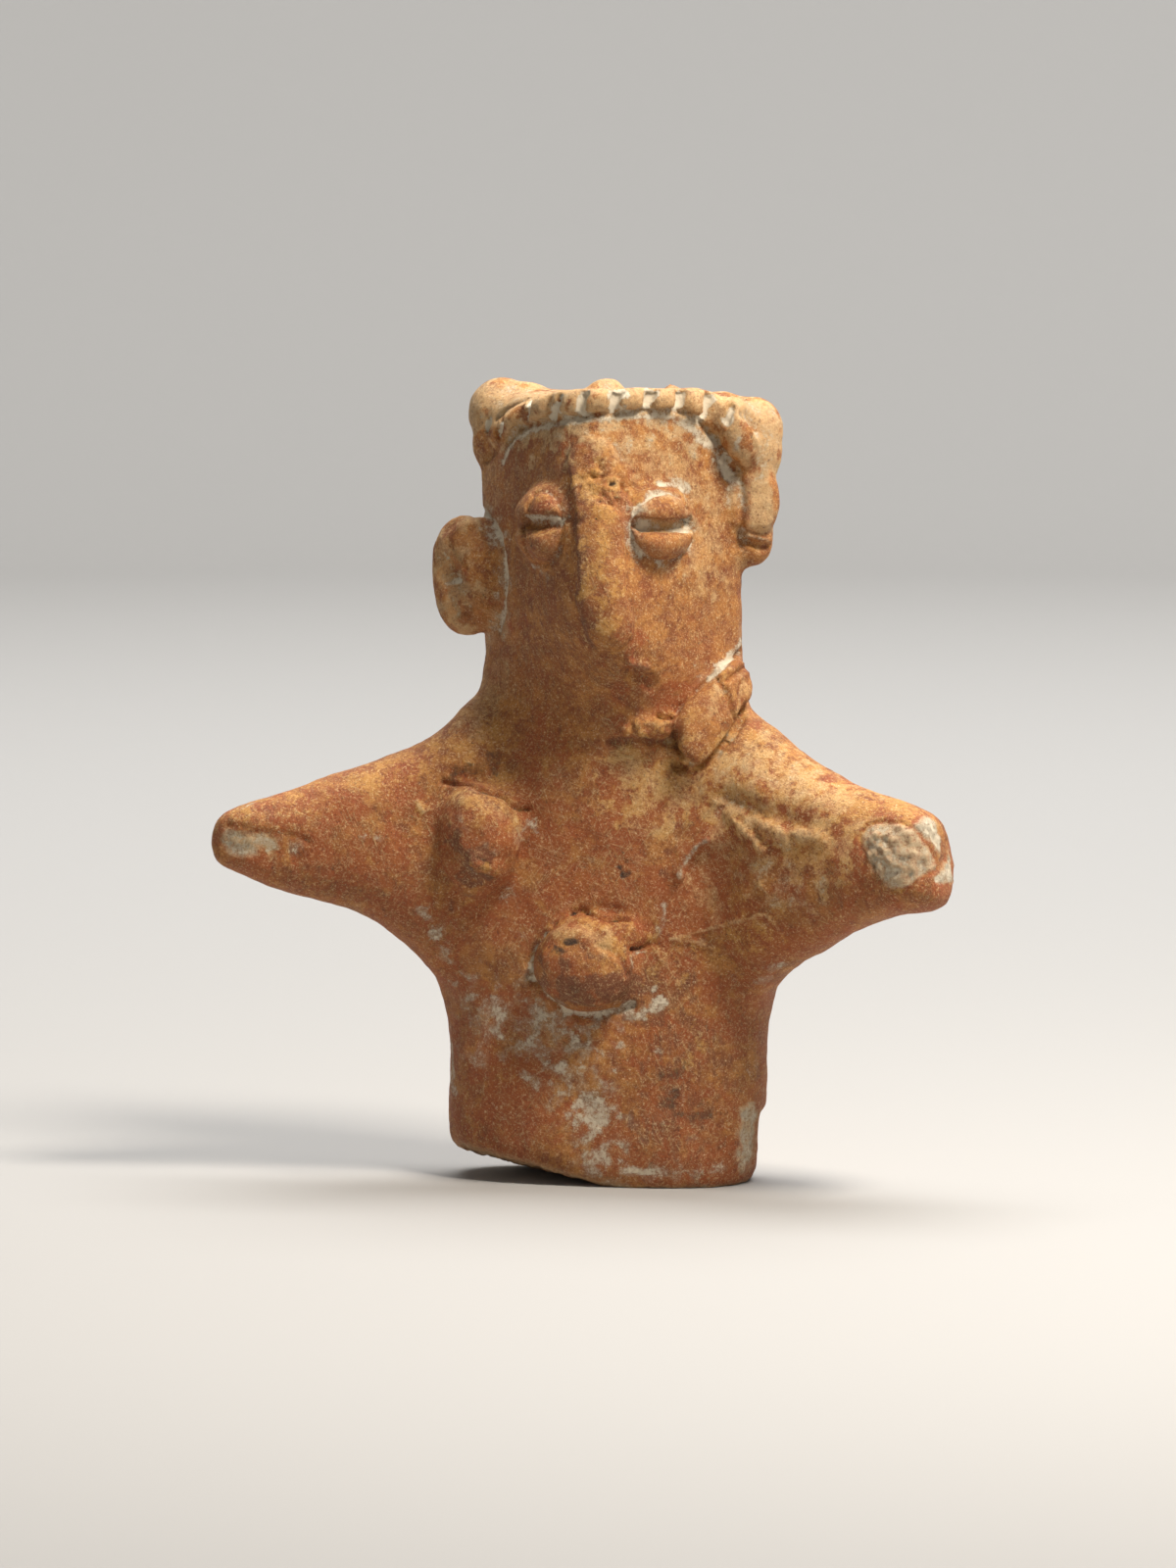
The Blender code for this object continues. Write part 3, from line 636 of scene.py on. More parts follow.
# Each ridge is laid wider and higher than it ends up, because its soft edges take some of it away
RIDGE_SLOPE = 0.3
RIDGE_LIFT = 1.7
SHOULDER_FOLD = ((715, 785), (765, 797), (835, 825))
CHEST_WEAR = ((650, 800), (700, 808), (750, 830), (800, 850), (850, 862))
TORN_GROOVE = ((744, 813), (757, 817), (770, 823))
DARK_ARCS = (((676, 852), (695, 843), (712, 835)), ((683, 870), (680, 895)))
# Half width in millimetres, strength, and pixels
CHEST_LIME = (
    (0.85, 0.63, ((678, 922), (677, 940), (672, 952))),
    (0.935, 0.49, ((660, 835), (669, 846))),
    (1.19, 0.35, ((655, 812), (657, 826))),
    (2.72, 0.35, ((768, 785), (785, 800), (800, 814))),
    (1.36, 0.385, ((808, 905), (814, 912))),
    (4.08, 0.294, ((430, 880), (440, 905), (455, 932), (450, 962))),
    (1.7, 0.35, ((515, 905), (520, 930))),
    (0.85, 0.49, ((528, 930), (524, 948), (535, 957))),
    (0.68, 0.42, ((580, 918), (574, 928))),
)
CHEST_OCHRE = ((675, 962), (740, 950), (785, 945))
CHEST_PALE = (((760, 870), (800, 900), (820, 880)), ((640, 790), (670, 830)))
CHEST_POWDER = ((780, 890), (810, 905))
CHEST_SPOTS = (((634, 868), (639, 877)), ((634, 886), (636, 892)))
NECK_STAINS = (((572, 754), (580, 764)), ((583, 785), (590, 795)))
SHOULDER_OCHRE = ((735, 795), (790, 800), (850, 815), (905, 828))
SHOULDER_PALE = ((760, 780), (790, 792), (820, 805), (850, 818))
SHOULDER_POWDER = ((755, 785), (780, 795), (810, 805))
ARM_SLIP = ((850, 866), (852, 890))
ARM_UNDERSIDE = ((838, 912), (895, 920), (950, 917))

for reach, depth, pixels in BREAST_PLANES:
    cut(reach, depth, pixels, uneven=0.1)
cut(0.55, 0.75, BREAST_CRACK)
tint("dark", 0.7, 0.45, BREAST_CRACK)
cut(0.5, -0.22, BREAST_LIP)
tint("lime", 0.45, 0.45, BREAST_LIP)
tint("dark", 0.72, 2.6, BREAST_STAIN)
tint("ochre", 0.8, 3.8, BREAST_OCHRE)
tint("pale", 0.55, 3.6, BREAST_WEAR)
cut(0.6, -0.18, BREAST_RIDGE)
tint("lime", 0.6, 0.6, BREAST_RIDGE)
# Painted shade on the breast's lower side, turned from the light.
tint("brown", 1.1, 2.4, *BREAST_UNDERSIDE)
cut(0.8, 0.2, BREAST_SIDE)
# Painted shade along the breast's steep outer side.
tint("dark", 0.4, 0.8, BREAST_SIDE)
cut(0.7, -0.25, NIPPLE)
tint("ochre", 1.0, 0.8, NIPPLE)
cut(0.3, 0.35, NIPPLE_CREASE)
tint("dark", 0.7, 0.35, NIPPLE_CREASE)
# Painted shadow under the nipple.
tint("dark", 0.58, 1.2, NIPPLE_SHADE)
tint("lime", 0.7, 1.4, *BREAST_LIME)
tint("dark", 0.55, 0.9, *BREAST_SPOTS)
cut(0.8, -0.4, SCAR_LIP, uneven=0.3)
tint("lime", 1.15, 0.65, SCAR_LIP, uneven=0.5)
tint("red", 0.8, 4.2, SCAR_RED, edge=1.2, uneven=0.4)
tint("pale", 0.62, 4.0, SCAR_RED)
cut(3.6, 0.3, SCAR_RED, uneven=0.1)
tint("red", 1.0, 2.4, ARM_SLIP, edge=1.6)
cut(5.0, -0.6, SHOULDER_FOLD, uneven=0)
for reach, height, pixels in TORN_RIDGES:
    cut(reach + RIDGE_SLOPE, -height * RIDGE_LIFT, pixels, uneven=0.8)
    tint("ochre", 0.8, reach + 0.9, pixels)
    tint("pale", 0.9, reach + 0.2, pixels, uneven=0.6)
    tint("lime", 0.5, reach, pixels)
cut(1.8, 0.25, TORN_GROOVE, uneven=0.4)
# Painted shade along the torn groove.
tint("brown", 0.6, 1.4, TORN_GROOVE)
tint("ochre", 0.85, 8.0, CHEST_WEAR, edge=6)
tint("pale", 0.7, 6.5, CHEST_WEAR)
tint("brown", 0.8, 1.5, *DARK_ARCS)
for reach, strength, pixels in CHEST_LIME:
    tint("lime", strength, reach, pixels)
# Painted shade on the underside of the arm's stump.
tint("brown", 0.6, 3.4, ARM_UNDERSIDE)
tint("ochre", 0.85, 8.5, SHOULDER_OCHRE, edge=5)
# The pale over the shoulder is partly worn clay and partly a painted highlight where the light falls
# strongest.
tint("pale", 0.85, 8.0, SHOULDER_PALE)
tint("lime", 0.42, 7.0, SHOULDER_POWDER)
tint("pale", 0.6, 7.0, *CHEST_PALE)
tint("lime", 0.5, 6.0, CHEST_POWDER)
tint("dark", 0.55, 1.6, *NECK_STAINS)
tint("dark", 0.85, 1.0, *CHEST_SPOTS)
tint("ochre", 0.75, 6.0, CHEST_OCHRE)

# The navel
# A big pellet with a smaller lobe beside it. A crack opens above it, and lime has gathered in the
# groove around it and run down the belly below.

NAVEL_DOME = ((580, 975), (595, 995), (610, 1000))
NAVEL_CRACK = ((583, 932), (595, 930), (605, 932), (621, 938), (640, 938))
NAVEL_RIM = (
    (541, 985), (544, 1000), (555, 1012), (566, 1022), (578, 1032), (592, 1036), (612, 1036),
    (632, 1032), (645, 1026),
)
NAVEL_UPPER_RIM = ((541, 985), (545, 970), (553, 955), (565, 943))
NAVEL_CREASE = ((608, 965), (618, 969), (628, 974), (636, 984), (641, 995))
NAVEL_RIDGE = ((590, 940), (615, 948), (628, 960), (636, 974))
NAVEL_PAINTED_HIGHLIGHT = ((575, 950), (600, 952), (615, 960))
NAVEL_UNDERSIDE = ((565, 1005), (600, 1012), (635, 1010))
NAVEL_UNDERSIDE_SHADE = ((570, 1005), (600, 1012), (630, 1010))
NAVEL_SCRAPE = ((612, 980), (630, 988))
NAVEL_STAINS = (((568, 972), (578, 970)), ((582, 964), (590, 960)))
NAVEL_LOWER_STAIN = ((586, 1003), (592, 1008))
LOBE_OCHRE = ((632, 945), (645, 958))
LOBE_HOLE = ((644, 969), (652, 967), (661, 963))
LOBE_LIME = (((642, 975), (650, 973), (661, 971)), ((643, 978), (647, 988)))
LIME_RUN = ((490, 1030), (555, 1060), (590, 1100), (605, 1170))
LIME_RUN_CORE = ((560, 1035), (590, 1060), (592, 1110), (606, 1150), (614, 1190))
FLANK_LIME = (((455, 940), (460, 1000), (480, 1060)), ((600, 1190), (700, 1195)))
# Half width in millimetres, strength, and pixels
BELLY_LIME = (
    (1.2, 0.98, ((648, 1034), (660, 1030), (670, 1021))),
    (1.95, 0.833, ((552, 1030), (570, 1038), (590, 1044))),
    (1.2, 0.882, ((497, 1012), (505, 1020), (509, 1033))),
    (0.9, 0.735, ((500, 1010), (520, 1005), (540, 1001))),
    (0.825, 0.833, ((538, 1020), (542, 1032), (556, 1036))),
    (1.2, 0.833, ((512, 1054), (522, 1058), (535, 1062))),
    (1.05, 0.735, ((522, 1068), (510, 1076))),
    (1.65, 0.882, ((585, 1045), (590, 1060), (583, 1069), (578, 1080))),
    (1.2, 0.833, ((575, 1080), (582, 1090), (598, 1086), (612, 1094))),
    (1.65, 0.882, ((580, 1100), (588, 1112), (603, 1120))),
    (1.35, 0.98, ((585, 1130), (590, 1138), (597, 1143))),
    (1.35, 0.833, ((608, 1122), (618, 1135), (621, 1158))),
    (1.95, 0.833, ((604, 1175), (616, 1184), (612, 1192))),
    (0.9, 0.882, ((632, 1062), (640, 1070))),
    (1.05, 0.686, ((622, 1042), (634, 1050))),
    (1.2, 0.686, ((483, 1080), (500, 1090))),
    (0.75, 0.882, ((530, 1097), (537, 1100))),
    (1.35, 0.539, ((465, 1070), (470, 1095))),
    (0.75, 0.588, ((666, 1073), (674, 1073))),
    (0.75, 0.588, ((683, 1073), (688, 1074))),
    (0.75, 0.588, ((764, 1095), (772, 1088))),
    (0.9, 0.588, ((700, 1160), (708, 1162))),
    (1.2, 0.686, ((792, 984), (783, 992), (779, 1004))),
    (1.05, 0.784, ((436, 930), (445, 960), (462, 986), (480, 1000))),
    (0.9, 0.833, ((462, 1000), (478, 1016), (500, 1012))),
    (1.2, 0.833, ((440, 1060), (452, 1085), (458, 1110))),
)
BELLY_SPOTS = (
    (683, 1128), (697, 1136), (712, 1130), (723, 1138), (727, 1121), (675, 1105), (690, 1116), (698, 1101),
    (694, 1095), (728, 1050),
)
BELLY_OCHRE = (((706, 1052), (720, 1068), (702, 1086)), ((530, 1040), (534, 1046)))
BELLY_BROWN = ((680, 1010), (700, 1060), (705, 1110), (690, 1150))
BELLY_SLIP = (((650, 1050), (700, 1110), (690, 1170)), ((500, 1050), (500, 1150)))
BELLY_SHADE = ((690, 1090), (705, 1125))
BELLY_LINE = ((627, 1082), (630, 1104))

cut(4.4, -0.7, NAVEL_DOME, edge=1.6, uneven=0)
cut(0.55, 0.8, NAVEL_CRACK)
tint("dark", 0.85, 0.4, NAVEL_CRACK)
cut(0.8, 0.8, NAVEL_RIM, NAVEL_UPPER_RIM, uneven=0.15)
tint("lime", 1.2, 0.9, NAVEL_RIM[1:6])
tint("lime", 0.85, 1.1, NAVEL_RIM, NAVEL_UPPER_RIM, uneven=0.7)
cut(0.6, 0.5, NAVEL_CREASE)
tint("dark", 0.35, 0.5, NAVEL_CREASE)
cut(0.9, -0.12, NAVEL_RIDGE)
tint("ochre", 0.9, 2.4, NAVEL_RIDGE, LOBE_OCHRE)
# A painted highlight on the top of the navel dome.
tint("pale", 0.8, 2.6, NAVEL_PAINTED_HIGHLIGHT)
cut(0.5, 0.6, LOBE_HOLE)
tint("dark", 0.95, 0.55, LOBE_HOLE)
tint("lime", 0.8, 0.4, *LOBE_LIME)
tint("dark", 0.95, 1.3, *NAVEL_STAINS)
tint("dark", 0.55, 1.2, NAVEL_LOWER_STAIN)
# Painted shade on the pellet's lower side and a painted shadow below it.
tint("brown", 1.1, 6.0, NAVEL_UNDERSIDE)
tint("dark", 0.35, 3.5, NAVEL_UNDERSIDE_SHADE)
tint("ochre", 0.8, 1.2, NAVEL_SCRAPE)
tint("lime", 0.62, 7.5, LIME_RUN)
tint("lime", 0.78, 3.6, LIME_RUN_CORE, uneven=2)
tint("brown", 0.75, 9.0, BELLY_BROWN)
tint("red", 0.6, 9.0, *BELLY_SLIP)
# Painted shade on the belly's right side.
tint("dark", 0.3, 6.5, BELLY_SHADE)
tint("lime", 0.4, 4.0, *FLANK_LIME)
for reach, strength, pixels in BELLY_LIME:
    tint("lime", strength, reach, pixels, uneven=2)
for pixel in BELLY_SPOTS:
    tint("dark", 0.68, 1.1, (pixel,), uneven=2)
tint("dark", 0.4, 1.0, BELLY_LINE)
tint("ochre", 0.65, 2.4, *BELLY_OCHRE)

# The breaks
# Both arms and the waist have broken off. The clay inside is paler and rough. The figure's left stump
# shows an oval facet with two flakes gone white, and a strip of the waist's corner has come away.

STUMP_FACET = (
    (877, 852), (885, 842), (900, 838), (920, 840), (935, 845), (945, 860), (955, 874), (958, 885),
    (946, 892), (936, 901), (925, 907), (912, 910), (902, 905), (895, 890), (889, 880), (879, 865),
)
STUMP_FLAKE = (
    (939, 834), (945, 831), (953, 836), (957, 845), (962, 855), (961, 868), (957, 873), (950, 862),
    (943, 853), (935, 848), (933, 842),
)
STUMP_END_FLAKE = (
    (966, 860), (971, 875), (973, 890), (971, 901), (962, 903), (955, 902), (950, 895), (958, 890),
    (962, 880), (965, 870),
)
STUMP_FURROWS = (((904, 877), (920, 883), (938, 889)), ((893, 862), (905, 868), (915, 866)))
STUMP_RIM_BROWN = ((962, 840), (965, 855), (962, 872), (955, 884))
STUMP_RIM_OCHRE = ((902, 909), (925, 909), (945, 902))
FAR_ARM_SHADE = ((290, 895), (360, 905), (430, 900))
FAR_ARM_OCHRE = (((240, 830), (290, 820), (330, 812)), ((360, 803), (395, 785)))
FAR_ARM_SPOTS = (((355, 857), (358, 852)), ((368, 850), (374, 853)), ((383, 855), (388, 857)))
FAR_STUMP_PATCH = (
    (228, 842), (240, 845), (262, 850), (268, 862), (262, 876), (245, 878), (232, 874), (224, 858),
)
FAR_STUMP_HOLLOW = ((246, 861), (292, 866))
FAR_STUMP_LEDGE = ((232, 841), (248, 843), (268, 848), (300, 852), (314, 858))
FAR_STUMP_LEDGE_SHADE = ((232, 842), (262, 846), (300, 852), (312, 858))
FAR_STUMP_PALE = ((240, 860), (275, 862))
FAR_STUMP_LIME = ((236, 858), (262, 862))
FAR_STUMP_LIME_TAIL = ((262, 862), (298, 864))
FAR_STUMP_BROWN = ((270, 862), (296, 868))
FAR_STUMP_CHIP = ((303, 855), (308, 865), (313, 873))
FAR_STUMP_STREAK = ((244, 826), (256, 820), (268, 815), (279, 812))
WAIST_CHIP = (
    (753, 1130), (762, 1123), (774, 1123), (773, 1140), (771, 1160), (767, 1185), (762, 1199),
    (754, 1199), (752, 1182), (749, 1167), (755, 1148),
)
WAIST_LIME = (
    ((630, 1188), (650, 1186), (668, 1190), (668, 1203), (648, 1204), (630, 1200)),
    ((672, 1197), (690, 1191), (697, 1194), (690, 1204), (677, 1204)),
    ((721, 1196), (728, 1188), (741, 1176), (738, 1192), (728, 1205)),
)
WAIST_EDGE_LIME = ((625, 1196), (690, 1200), (735, 1195))

tint_patch("broken", 1.0, 0.35, STUMP_FACET, STUMP_FLAKE, STUMP_END_FLAKE, WAIST_CHIP)
tint_patch("lime", 1.15, 0.5, STUMP_FLAKE, STUMP_END_FLAKE)
tint_patch("lime", 0.62, 0.6, STUMP_FACET)
tint_patch("lime", 0.75, 0.6, WAIST_CHIP)
tint_patch("lime", 1.05, 0.8, *WAIST_LIME)
tint("lime", 0.62, 2.4, WAIST_EDGE_LIME)
cut(0.4, 0.25, STUMP_FACET + STUMP_FACET[:1])
cut(0.35, -0.25, *STUMP_FURROWS)
tint("lime", 0.9, 0.35, *STUMP_FURROWS)
tint("brown", 0.9, 0.8, STUMP_RIM_BROWN)
tint("ochre", 0.9, 1.0, STUMP_RIM_OCHRE)
# Painted shade on the underside of the far arm, turned from the light.
tint("brown", 0.5, 8.0, FAR_ARM_SHADE)
cut(3.4, 0.45, FAR_STUMP_HOLLOW, uneven=0.2)
cut(0.6, 0.35, FAR_STUMP_LEDGE, uneven=0.7)
# Painted shadow under the far stump's ledge.
tint("dark", 0.5, 0.6, FAR_STUMP_LEDGE)
tint("pale", 1.0, 2.6, FAR_STUMP_PALE, uneven=0.6)
tint("lime", 0.8, 2.4, FAR_STUMP_LIME, uneven=0.8)
tint("lime", 0.7, 1.8, FAR_STUMP_LIME_TAIL, uneven=0.8)
tint_patch("broken", 0.6, 0.6, FAR_STUMP_PATCH)
tint_patch("lime", 0.72, 0.6, FAR_STUMP_PATCH)
tint("brown", 0.7, 1.6, FAR_STUMP_BROWN)
tint("lime", 0.7, 0.5, FAR_STUMP_CHIP)
tint("lime", 0.9, 0.45, FAR_STUMP_STREAK)
tint("ochre", 0.7, 2.2, *FAR_ARM_OCHRE)
# More painted shadow under the far stump's ledge.
tint("dark", 0.5, 0.5, FAR_STUMP_LEDGE_SHADE)
tint("lime", 0.6, 0.6, *FAR_ARM_SPOTS)

# The slanted break under the figure's right side, and the flat break that the bust stands on: the clay
# near the ground that faces down
WAIST_BREAK_TOP = 9 * MM
DOWNWARD_GAIN = 1.6
DOWNWARD_START = 0.6
WAIST_BREAK_STRENGTH = 0.8

facing_down = np.clip(-outward[:, 2] * DOWNWARD_GAIN - DOWNWARD_START, 0, 1)
under = facing_down * (places[:, 2] < WAIST_BREAK_TOP)
masks["broken"] = np.maximum(masks["broken"], under * WAIST_BREAK_STRENGTH)

# The relief that hands leave
# Swells from thumbs and fingers, and the grit of coarse clay. Breaks are rougher, and the pitted part of
# the crest is rippled. Dirt stays in the hollows of it all, and handling wears its edges.

# Size of the swells in millimetres, seed, octaves, and height in millimetres
HAND_SWELLS = ((7, 1, 1, 0.14), (2.6, 2, 2, 0.09), (0.9, 3, 1, 0.04))
BREAK_ROUGHNESS = 0.45
RIPPLE_HEIGHT = 1.3
# The relief fades out over this height, so that the bust stands flat
FOOT = 0.3 * MM

for size, seed, octaves, swell_height in HAND_SWELLS:
    sunk += speckle(size, seed, octaves) * swell_height
sunk += masks["broken"] * speckle(size=1.3, seed=4, octaves=3) * BREAK_ROUGHNESS
sunk += crest_ripples * np.abs(speckle(size=1.0, seed=5)) * RIPPLE_HEIGHT
sunk *= np.clip(places[:, 2] / FOOT, 0, 1)

moved = places - outward * (sunk * MM)[:, None]
moved = np.clip(moved, np.array(solid_low), np.array(solid_high))
mesh.vertices.foreach_set("co", moved.ravel())
mesh.update()
mesh.shade_smooth()

edges = np.empty(len(mesh.edges) * 2, np.int64)
mesh.edges.foreach_get("vertices", edges)
edges = edges.reshape(-1, 2)
neighbours = np.bincount(edges.ravel(), minlength=count)


def smoothed(values, passes):
    """Values averaged with their neighbours' this many times."""
    for _ in range(passes):
        total = np.bincount(edges[:, 0], values[edges[:, 1]], count)
        total += np.bincount(edges[:, 1], values[edges[:, 0]], count)
        values = (values + total / neighbours) / 2
    return values


HOLLOW_PASSES = 18
HOLLOW_DEPTH = 0.12 * MM
# Covering, the height in millimetres where it begins, over how many it grows downwards, its strength
# there, and the least of it anywhere. The ochre grows upwards instead.
BY_HEIGHT = (
    ("lime", 48, 40, 0.16, 0.1),
    ("red", 60, 14, 0.5, 0.0),
    ("ochre", 62, -20, 0.3, 0.0),
)
# The clay is made more ochre the more it faces up, up to half way to straight up, with a little ochre
# everywhere
OCHRE_LEAST = 0.15
OCHRE_ON_TOP = 0.9
FULLY_UP = 0.5

level = np.stack([smoothed(moved[:, axis], HOLLOW_PASSES) for axis in range(3)], axis=1)
hollow = np.einsum("ij,ij->i", level - moved, outward) / HOLLOW_DEPTH
masks["hollow"] = np.clip(hollow, -1, 1)
height = places[:, 2] / MM
for name, start, growth, strength, least in BY_HEIGHT:
    grown = least + np.clip((start - height) / growth, 0, 1) * strength
    masks[name] = np.maximum(masks[name], grown)
ochre_facing_up = OCHRE_LEAST + np.clip(outward[:, 2], 0, FULLY_UP) * OCHRE_ON_TOP
masks["ochre"] = np.maximum(masks["ochre"], ochre_facing_up)

# The scar of the lost breast keeps its red, with no ochre over it
masks["ochre"] *= 1 - stroke(SCAR_RED, 5.0, edge=1.2, ragged=ragged_outline * 0.4)

# Behind, where no mark is known, the same stains and deposits drift in wider patches that come from
# noise alone. Covering, size of the patches in millimetres, seed, and strength.
DRIFTS = (
    ("brown", 24, 21, 1.6),
    ("lime", 19, 22, 1.5),
    ("pale", 28, 23, 1.8),
    ("dark", 13, 24, 0.9),
    ("ochre", 21, 25, 1.6),
)
MOST_DRIFT = 0.75
BEHIND_START = 0.3
BEHIND_GAIN = 2

behind = np.clip(BEHIND_START - BEHIND_GAIN * outward @ np.array(toward_camera), 0, 1)
for name, size, seed, strength in DRIFTS:
    drift = np.clip(speckle(size, seed, octaves=2) * strength, 0, MOST_DRIFT) * behind
    masks[name] = np.maximum(masks[name], drift)
for name, values in masks.items():
    mask = mesh.attributes.new(name, "FLOAT", "POINT")
    mask.data.foreach_set("value", values.astype(np.float32))

# The material
# Terracotta: coarse red clay shaped by hand, coated with a thin slip and fired in an open kiln, then
# buried. The firing left it an uneven orange brown with a matt, dry face. The slip is left in red
# patches, wear bares ochre clay, lime lies on it like chalk, and pale grit breaks up what sheen it has.

# Noises: size of a spot in millimetres, detail, roughness and distortion. Real flecks of temper are about
# 0.2 mm and the grit's dust 0.05 mm, too fine to show, so fleck and grit are drawn coarser than they are.
NOISES = {
    "swell": (11, 3, 0.6, 0.0),
    "mottle": (2.4, 8, 0.76, 0.2),
    "slip": (6, 9, 0.72, 0.5),
    "fleck": (0.5, 6, 0.82, 0.0),
    "grit": (0.28, 3, 0.7, 0.0),
    "chalk": (1.9, 9, 0.84, 0.35),
    "chalk_patch": (5.5, 8, 0.74, 0.6),
}
# Lines: width and length in millimetres, turn in degrees, and detail. Real scratches are hairs of about
# 0.05 mm, and are drawn four times as wide so that they show.
LINES = {
    "streaks": (0.6, 9, 0, 4),
    "scratches down": (0.2, 5, -38, 2),
    "scratches up": (0.2, 5, 24, 2),
    "scratches across": (0.2, 5, 71, 2),
}
LINE_ROUGHNESS = 0.6
LINE_DISTORTION = 0.2
# Blends: the parts and the share of each
BLENDS = {
    "powder": (("chalk", 0.26), ("chalk_patch", 0.26), ("fleck", 0.48)),
    "wiped": (("streaks", 0.5), ("mottle", 0.5)),
    "rubbed": (("mottle", 0.6), ("fleck", 0.4)),
}
# Coverings: the mark that leads each one, or None where it is all over, the uneven values that break it
# up and how strongly, the values between which it goes from none to all, and how much all is
COVERINGS = {
    "paler clay": (None, "mottle", 1.0, 0.37, 0.61, 1.0),
    "orange swells": (None, "swell", 1.0, 0.42, 0.7, 0.5),
    "red brown patches": (None, "chalk_patch", 1.0, 0.5, 0.64, 0.45),
    "red slip": ("red", "slip", 3.6, 0.25, 0.6, 0.75),
    "brown stain and painted shade": ("brown", "wiped", 2.6, 0.35, 1.0, 1.0),
    "bared ochre": ("ochre", "rubbed", 4.6, 0.5, 1.1, 0.85),
    "pale wear and painted highlight": ("pale", "powder", 3.2, 0.25, 1.2, 0.75),
    "pale flecks": (None, "fleck", 1.0, 0.54, 0.68, 0.8),
    "brown flecks": (None, "fleck", 1.0, 0.45, 0.32, 0.85),
    "pale grit": (None, "grit", 1.0, 0.56, 0.68, 0.5),
    "dark grit": (None, "grit", 1.0, 0.43, 0.32, 0.6),
    "white grit": (None, "grit", 1.0, 0.66, 0.7, 1.0),
    "where white grit lies": (None, "mottle", 1.0, 0.5, 0.64, 1.0),
    "grain of the breaks": (None, "fleck", 1.0, 0.3, 0.6, 1.0),
    "dark stain and painted shade": ("dark", "powder", 2.6, 0.45, 1.0, 1.0),
    "lime haze": ("lime", "powder", 2.6, 0.2, 1.2, 0.4),
    "lime": ("lime in hollows", "powder", 5.4, 0.55, 1.15, 0.88),
    "scratches down": (None, "scratches down", 1.0, 0.6, 0.67, 1.0),
    "scratches up": (None, "scratches up", 1.0, 0.6, 0.67, 1.0),
    "scratches across": (None, "scratches across", 1.0, 0.6, 0.67, 1.0),
    "where scratches lie": (None, "chalk_patch", 1.0, 0.4, 0.56, 1.0),
}
CLAY_COLOUR = "#80431F"
# The brown and dark coats carry painted shade as well as stains, and the pale one painted highlights as
# well as wear.
# The coverings in the order in which they lie on the clay, and their colours
COATS = (
    ("paler clay", "#B4783A"),
    ("orange swells", "#A45E30"),
    ("red brown patches", "#8A4A27"),
    ("red slip", "#994A20"),
    ("brown stain and painted shade", "#7A4528"),
    ("bared ochre", "#BF8A44"),
    ("pale wear and painted highlight", "#D2AC76"),
    ("pale flecks", "#DDBB88"),
    ("brown flecks", "#5A3420"),
    ("faint scratches", "#DDBA80"),
    ("pale grit", "#E0C290"),
    ("dark grit", "#4E2E1C"),
    ("strewn white grit", "#E4D6B8"),
    ("broken clay", "#C6AE8A"),
    ("dark stain and painted shade", "#3B291D"),
    ("lime haze", "#D0C0A0"),
    ("lime", "#DED1B8"),
)
LIME_IN_HOLLOWS = 0.22
SCRATCH_STRENGTH = 0.32
# How much each one stands up, as a share of the tallest bump
BUMPS = (("fleck", 0.6), ("grit", 0.3), ("mottle", 0.8), ("scratches", 0.2), ("lime", 0.2))
BUMP_HEIGHT = 0.28 * MM
ROUGHNESS_LEAST = 0.55
ROUGHNESS_MOST = 0.8
ROUGHNESS_FROM = 0.3
ROUGHNESS_TO = 0.7
FIRED_CLAY_IOR = 1.45
# A noise's values lie about this one
MIDDLE = 0.5
# Which sockets of a Mix node hold colours: the amount, the coat below, the coat above, and the result
AMOUNT, BELOW, ABOVE, BLENDED = 0, 6, 7, 2


def linear(code):
    """A linear colour from an sRGB hex code."""
    channels = [int(code[i : i + 2], 16) / 255 for i in (1, 3, 5)]
    return [c / 12.92 if c <= 0.04045 else ((c + 0.055) / 1.055) ** 2.4 for c in channels] + [1.0]


terracotta = bpy.data.materials.new("terracotta")
terracotta.use_nodes = True
tree = terracotta.node_tree
shader = tree.nodes["Principled BSDF"]


def add(kind, inputs, output=0, **options):
    """Adds a node with its options and its inputs' values or sources, and returns one of its outputs."""
    new = tree.nodes.new(kind)
    for name, value in options.items():
        setattr(new, name, value)
    for slot, value in inputs.items():
        if isinstance(value, bpy.types.NodeSocket):
            tree.links.new(value, new.inputs[slot])
        else:
            new.inputs[slot].default_value = value
    return new.outputs[output]


place_on_clay = add("ShaderNodeTexCoord", {}, output="Object")
mark = {name: add("ShaderNodeAttribute", {}, output="Fac", attribute_name=name) for name in masks}
mark["lime in hollows"] = add(
    "ShaderNodeMath",
    {0: mark["hollow"], 1: LIME_IN_HOLLOWS, 2: mark["lime"]},
    operation="MULTIPLY_ADD",
)

uneven = {}
for name, (size, detail, roughness, distortion) in NOISES.items():
    spots = {"Scale": 1 / (size * MM), "Detail": detail, "Roughness": roughness, "Distortion": distortion}
    uneven[name] = add("ShaderNodeTexNoise", {"Vector": place_on_clay, **spots})
for name, (width, length, turn, detail) in LINES.items():
    laid = add("ShaderNodeMapping", {"Vector": place_on_clay, "Rotation": (0, math.radians(turn), 0)})
    stretch = (1 / (width * MM), 1 / (width * MM), 1 / (length * MM))
    drawn = add("ShaderNodeVectorMath", {0: laid, 1: stretch}, operation="MULTIPLY")
    look = {"Scale": 1, "Detail": detail, "Roughness": LINE_ROUGHNESS, "Distortion": LINE_DISTORTION}
    uneven[name] = add("ShaderNodeTexNoise", {"Vector": drawn, **look})
for name, parts in BLENDS.items():
    blend = 0.0
    for part, share in parts:
        blend = add("ShaderNodeMath", {0: uneven[part], 1: share, 2: blend}, operation="MULTIPLY_ADD")
    uneven[name] = blend

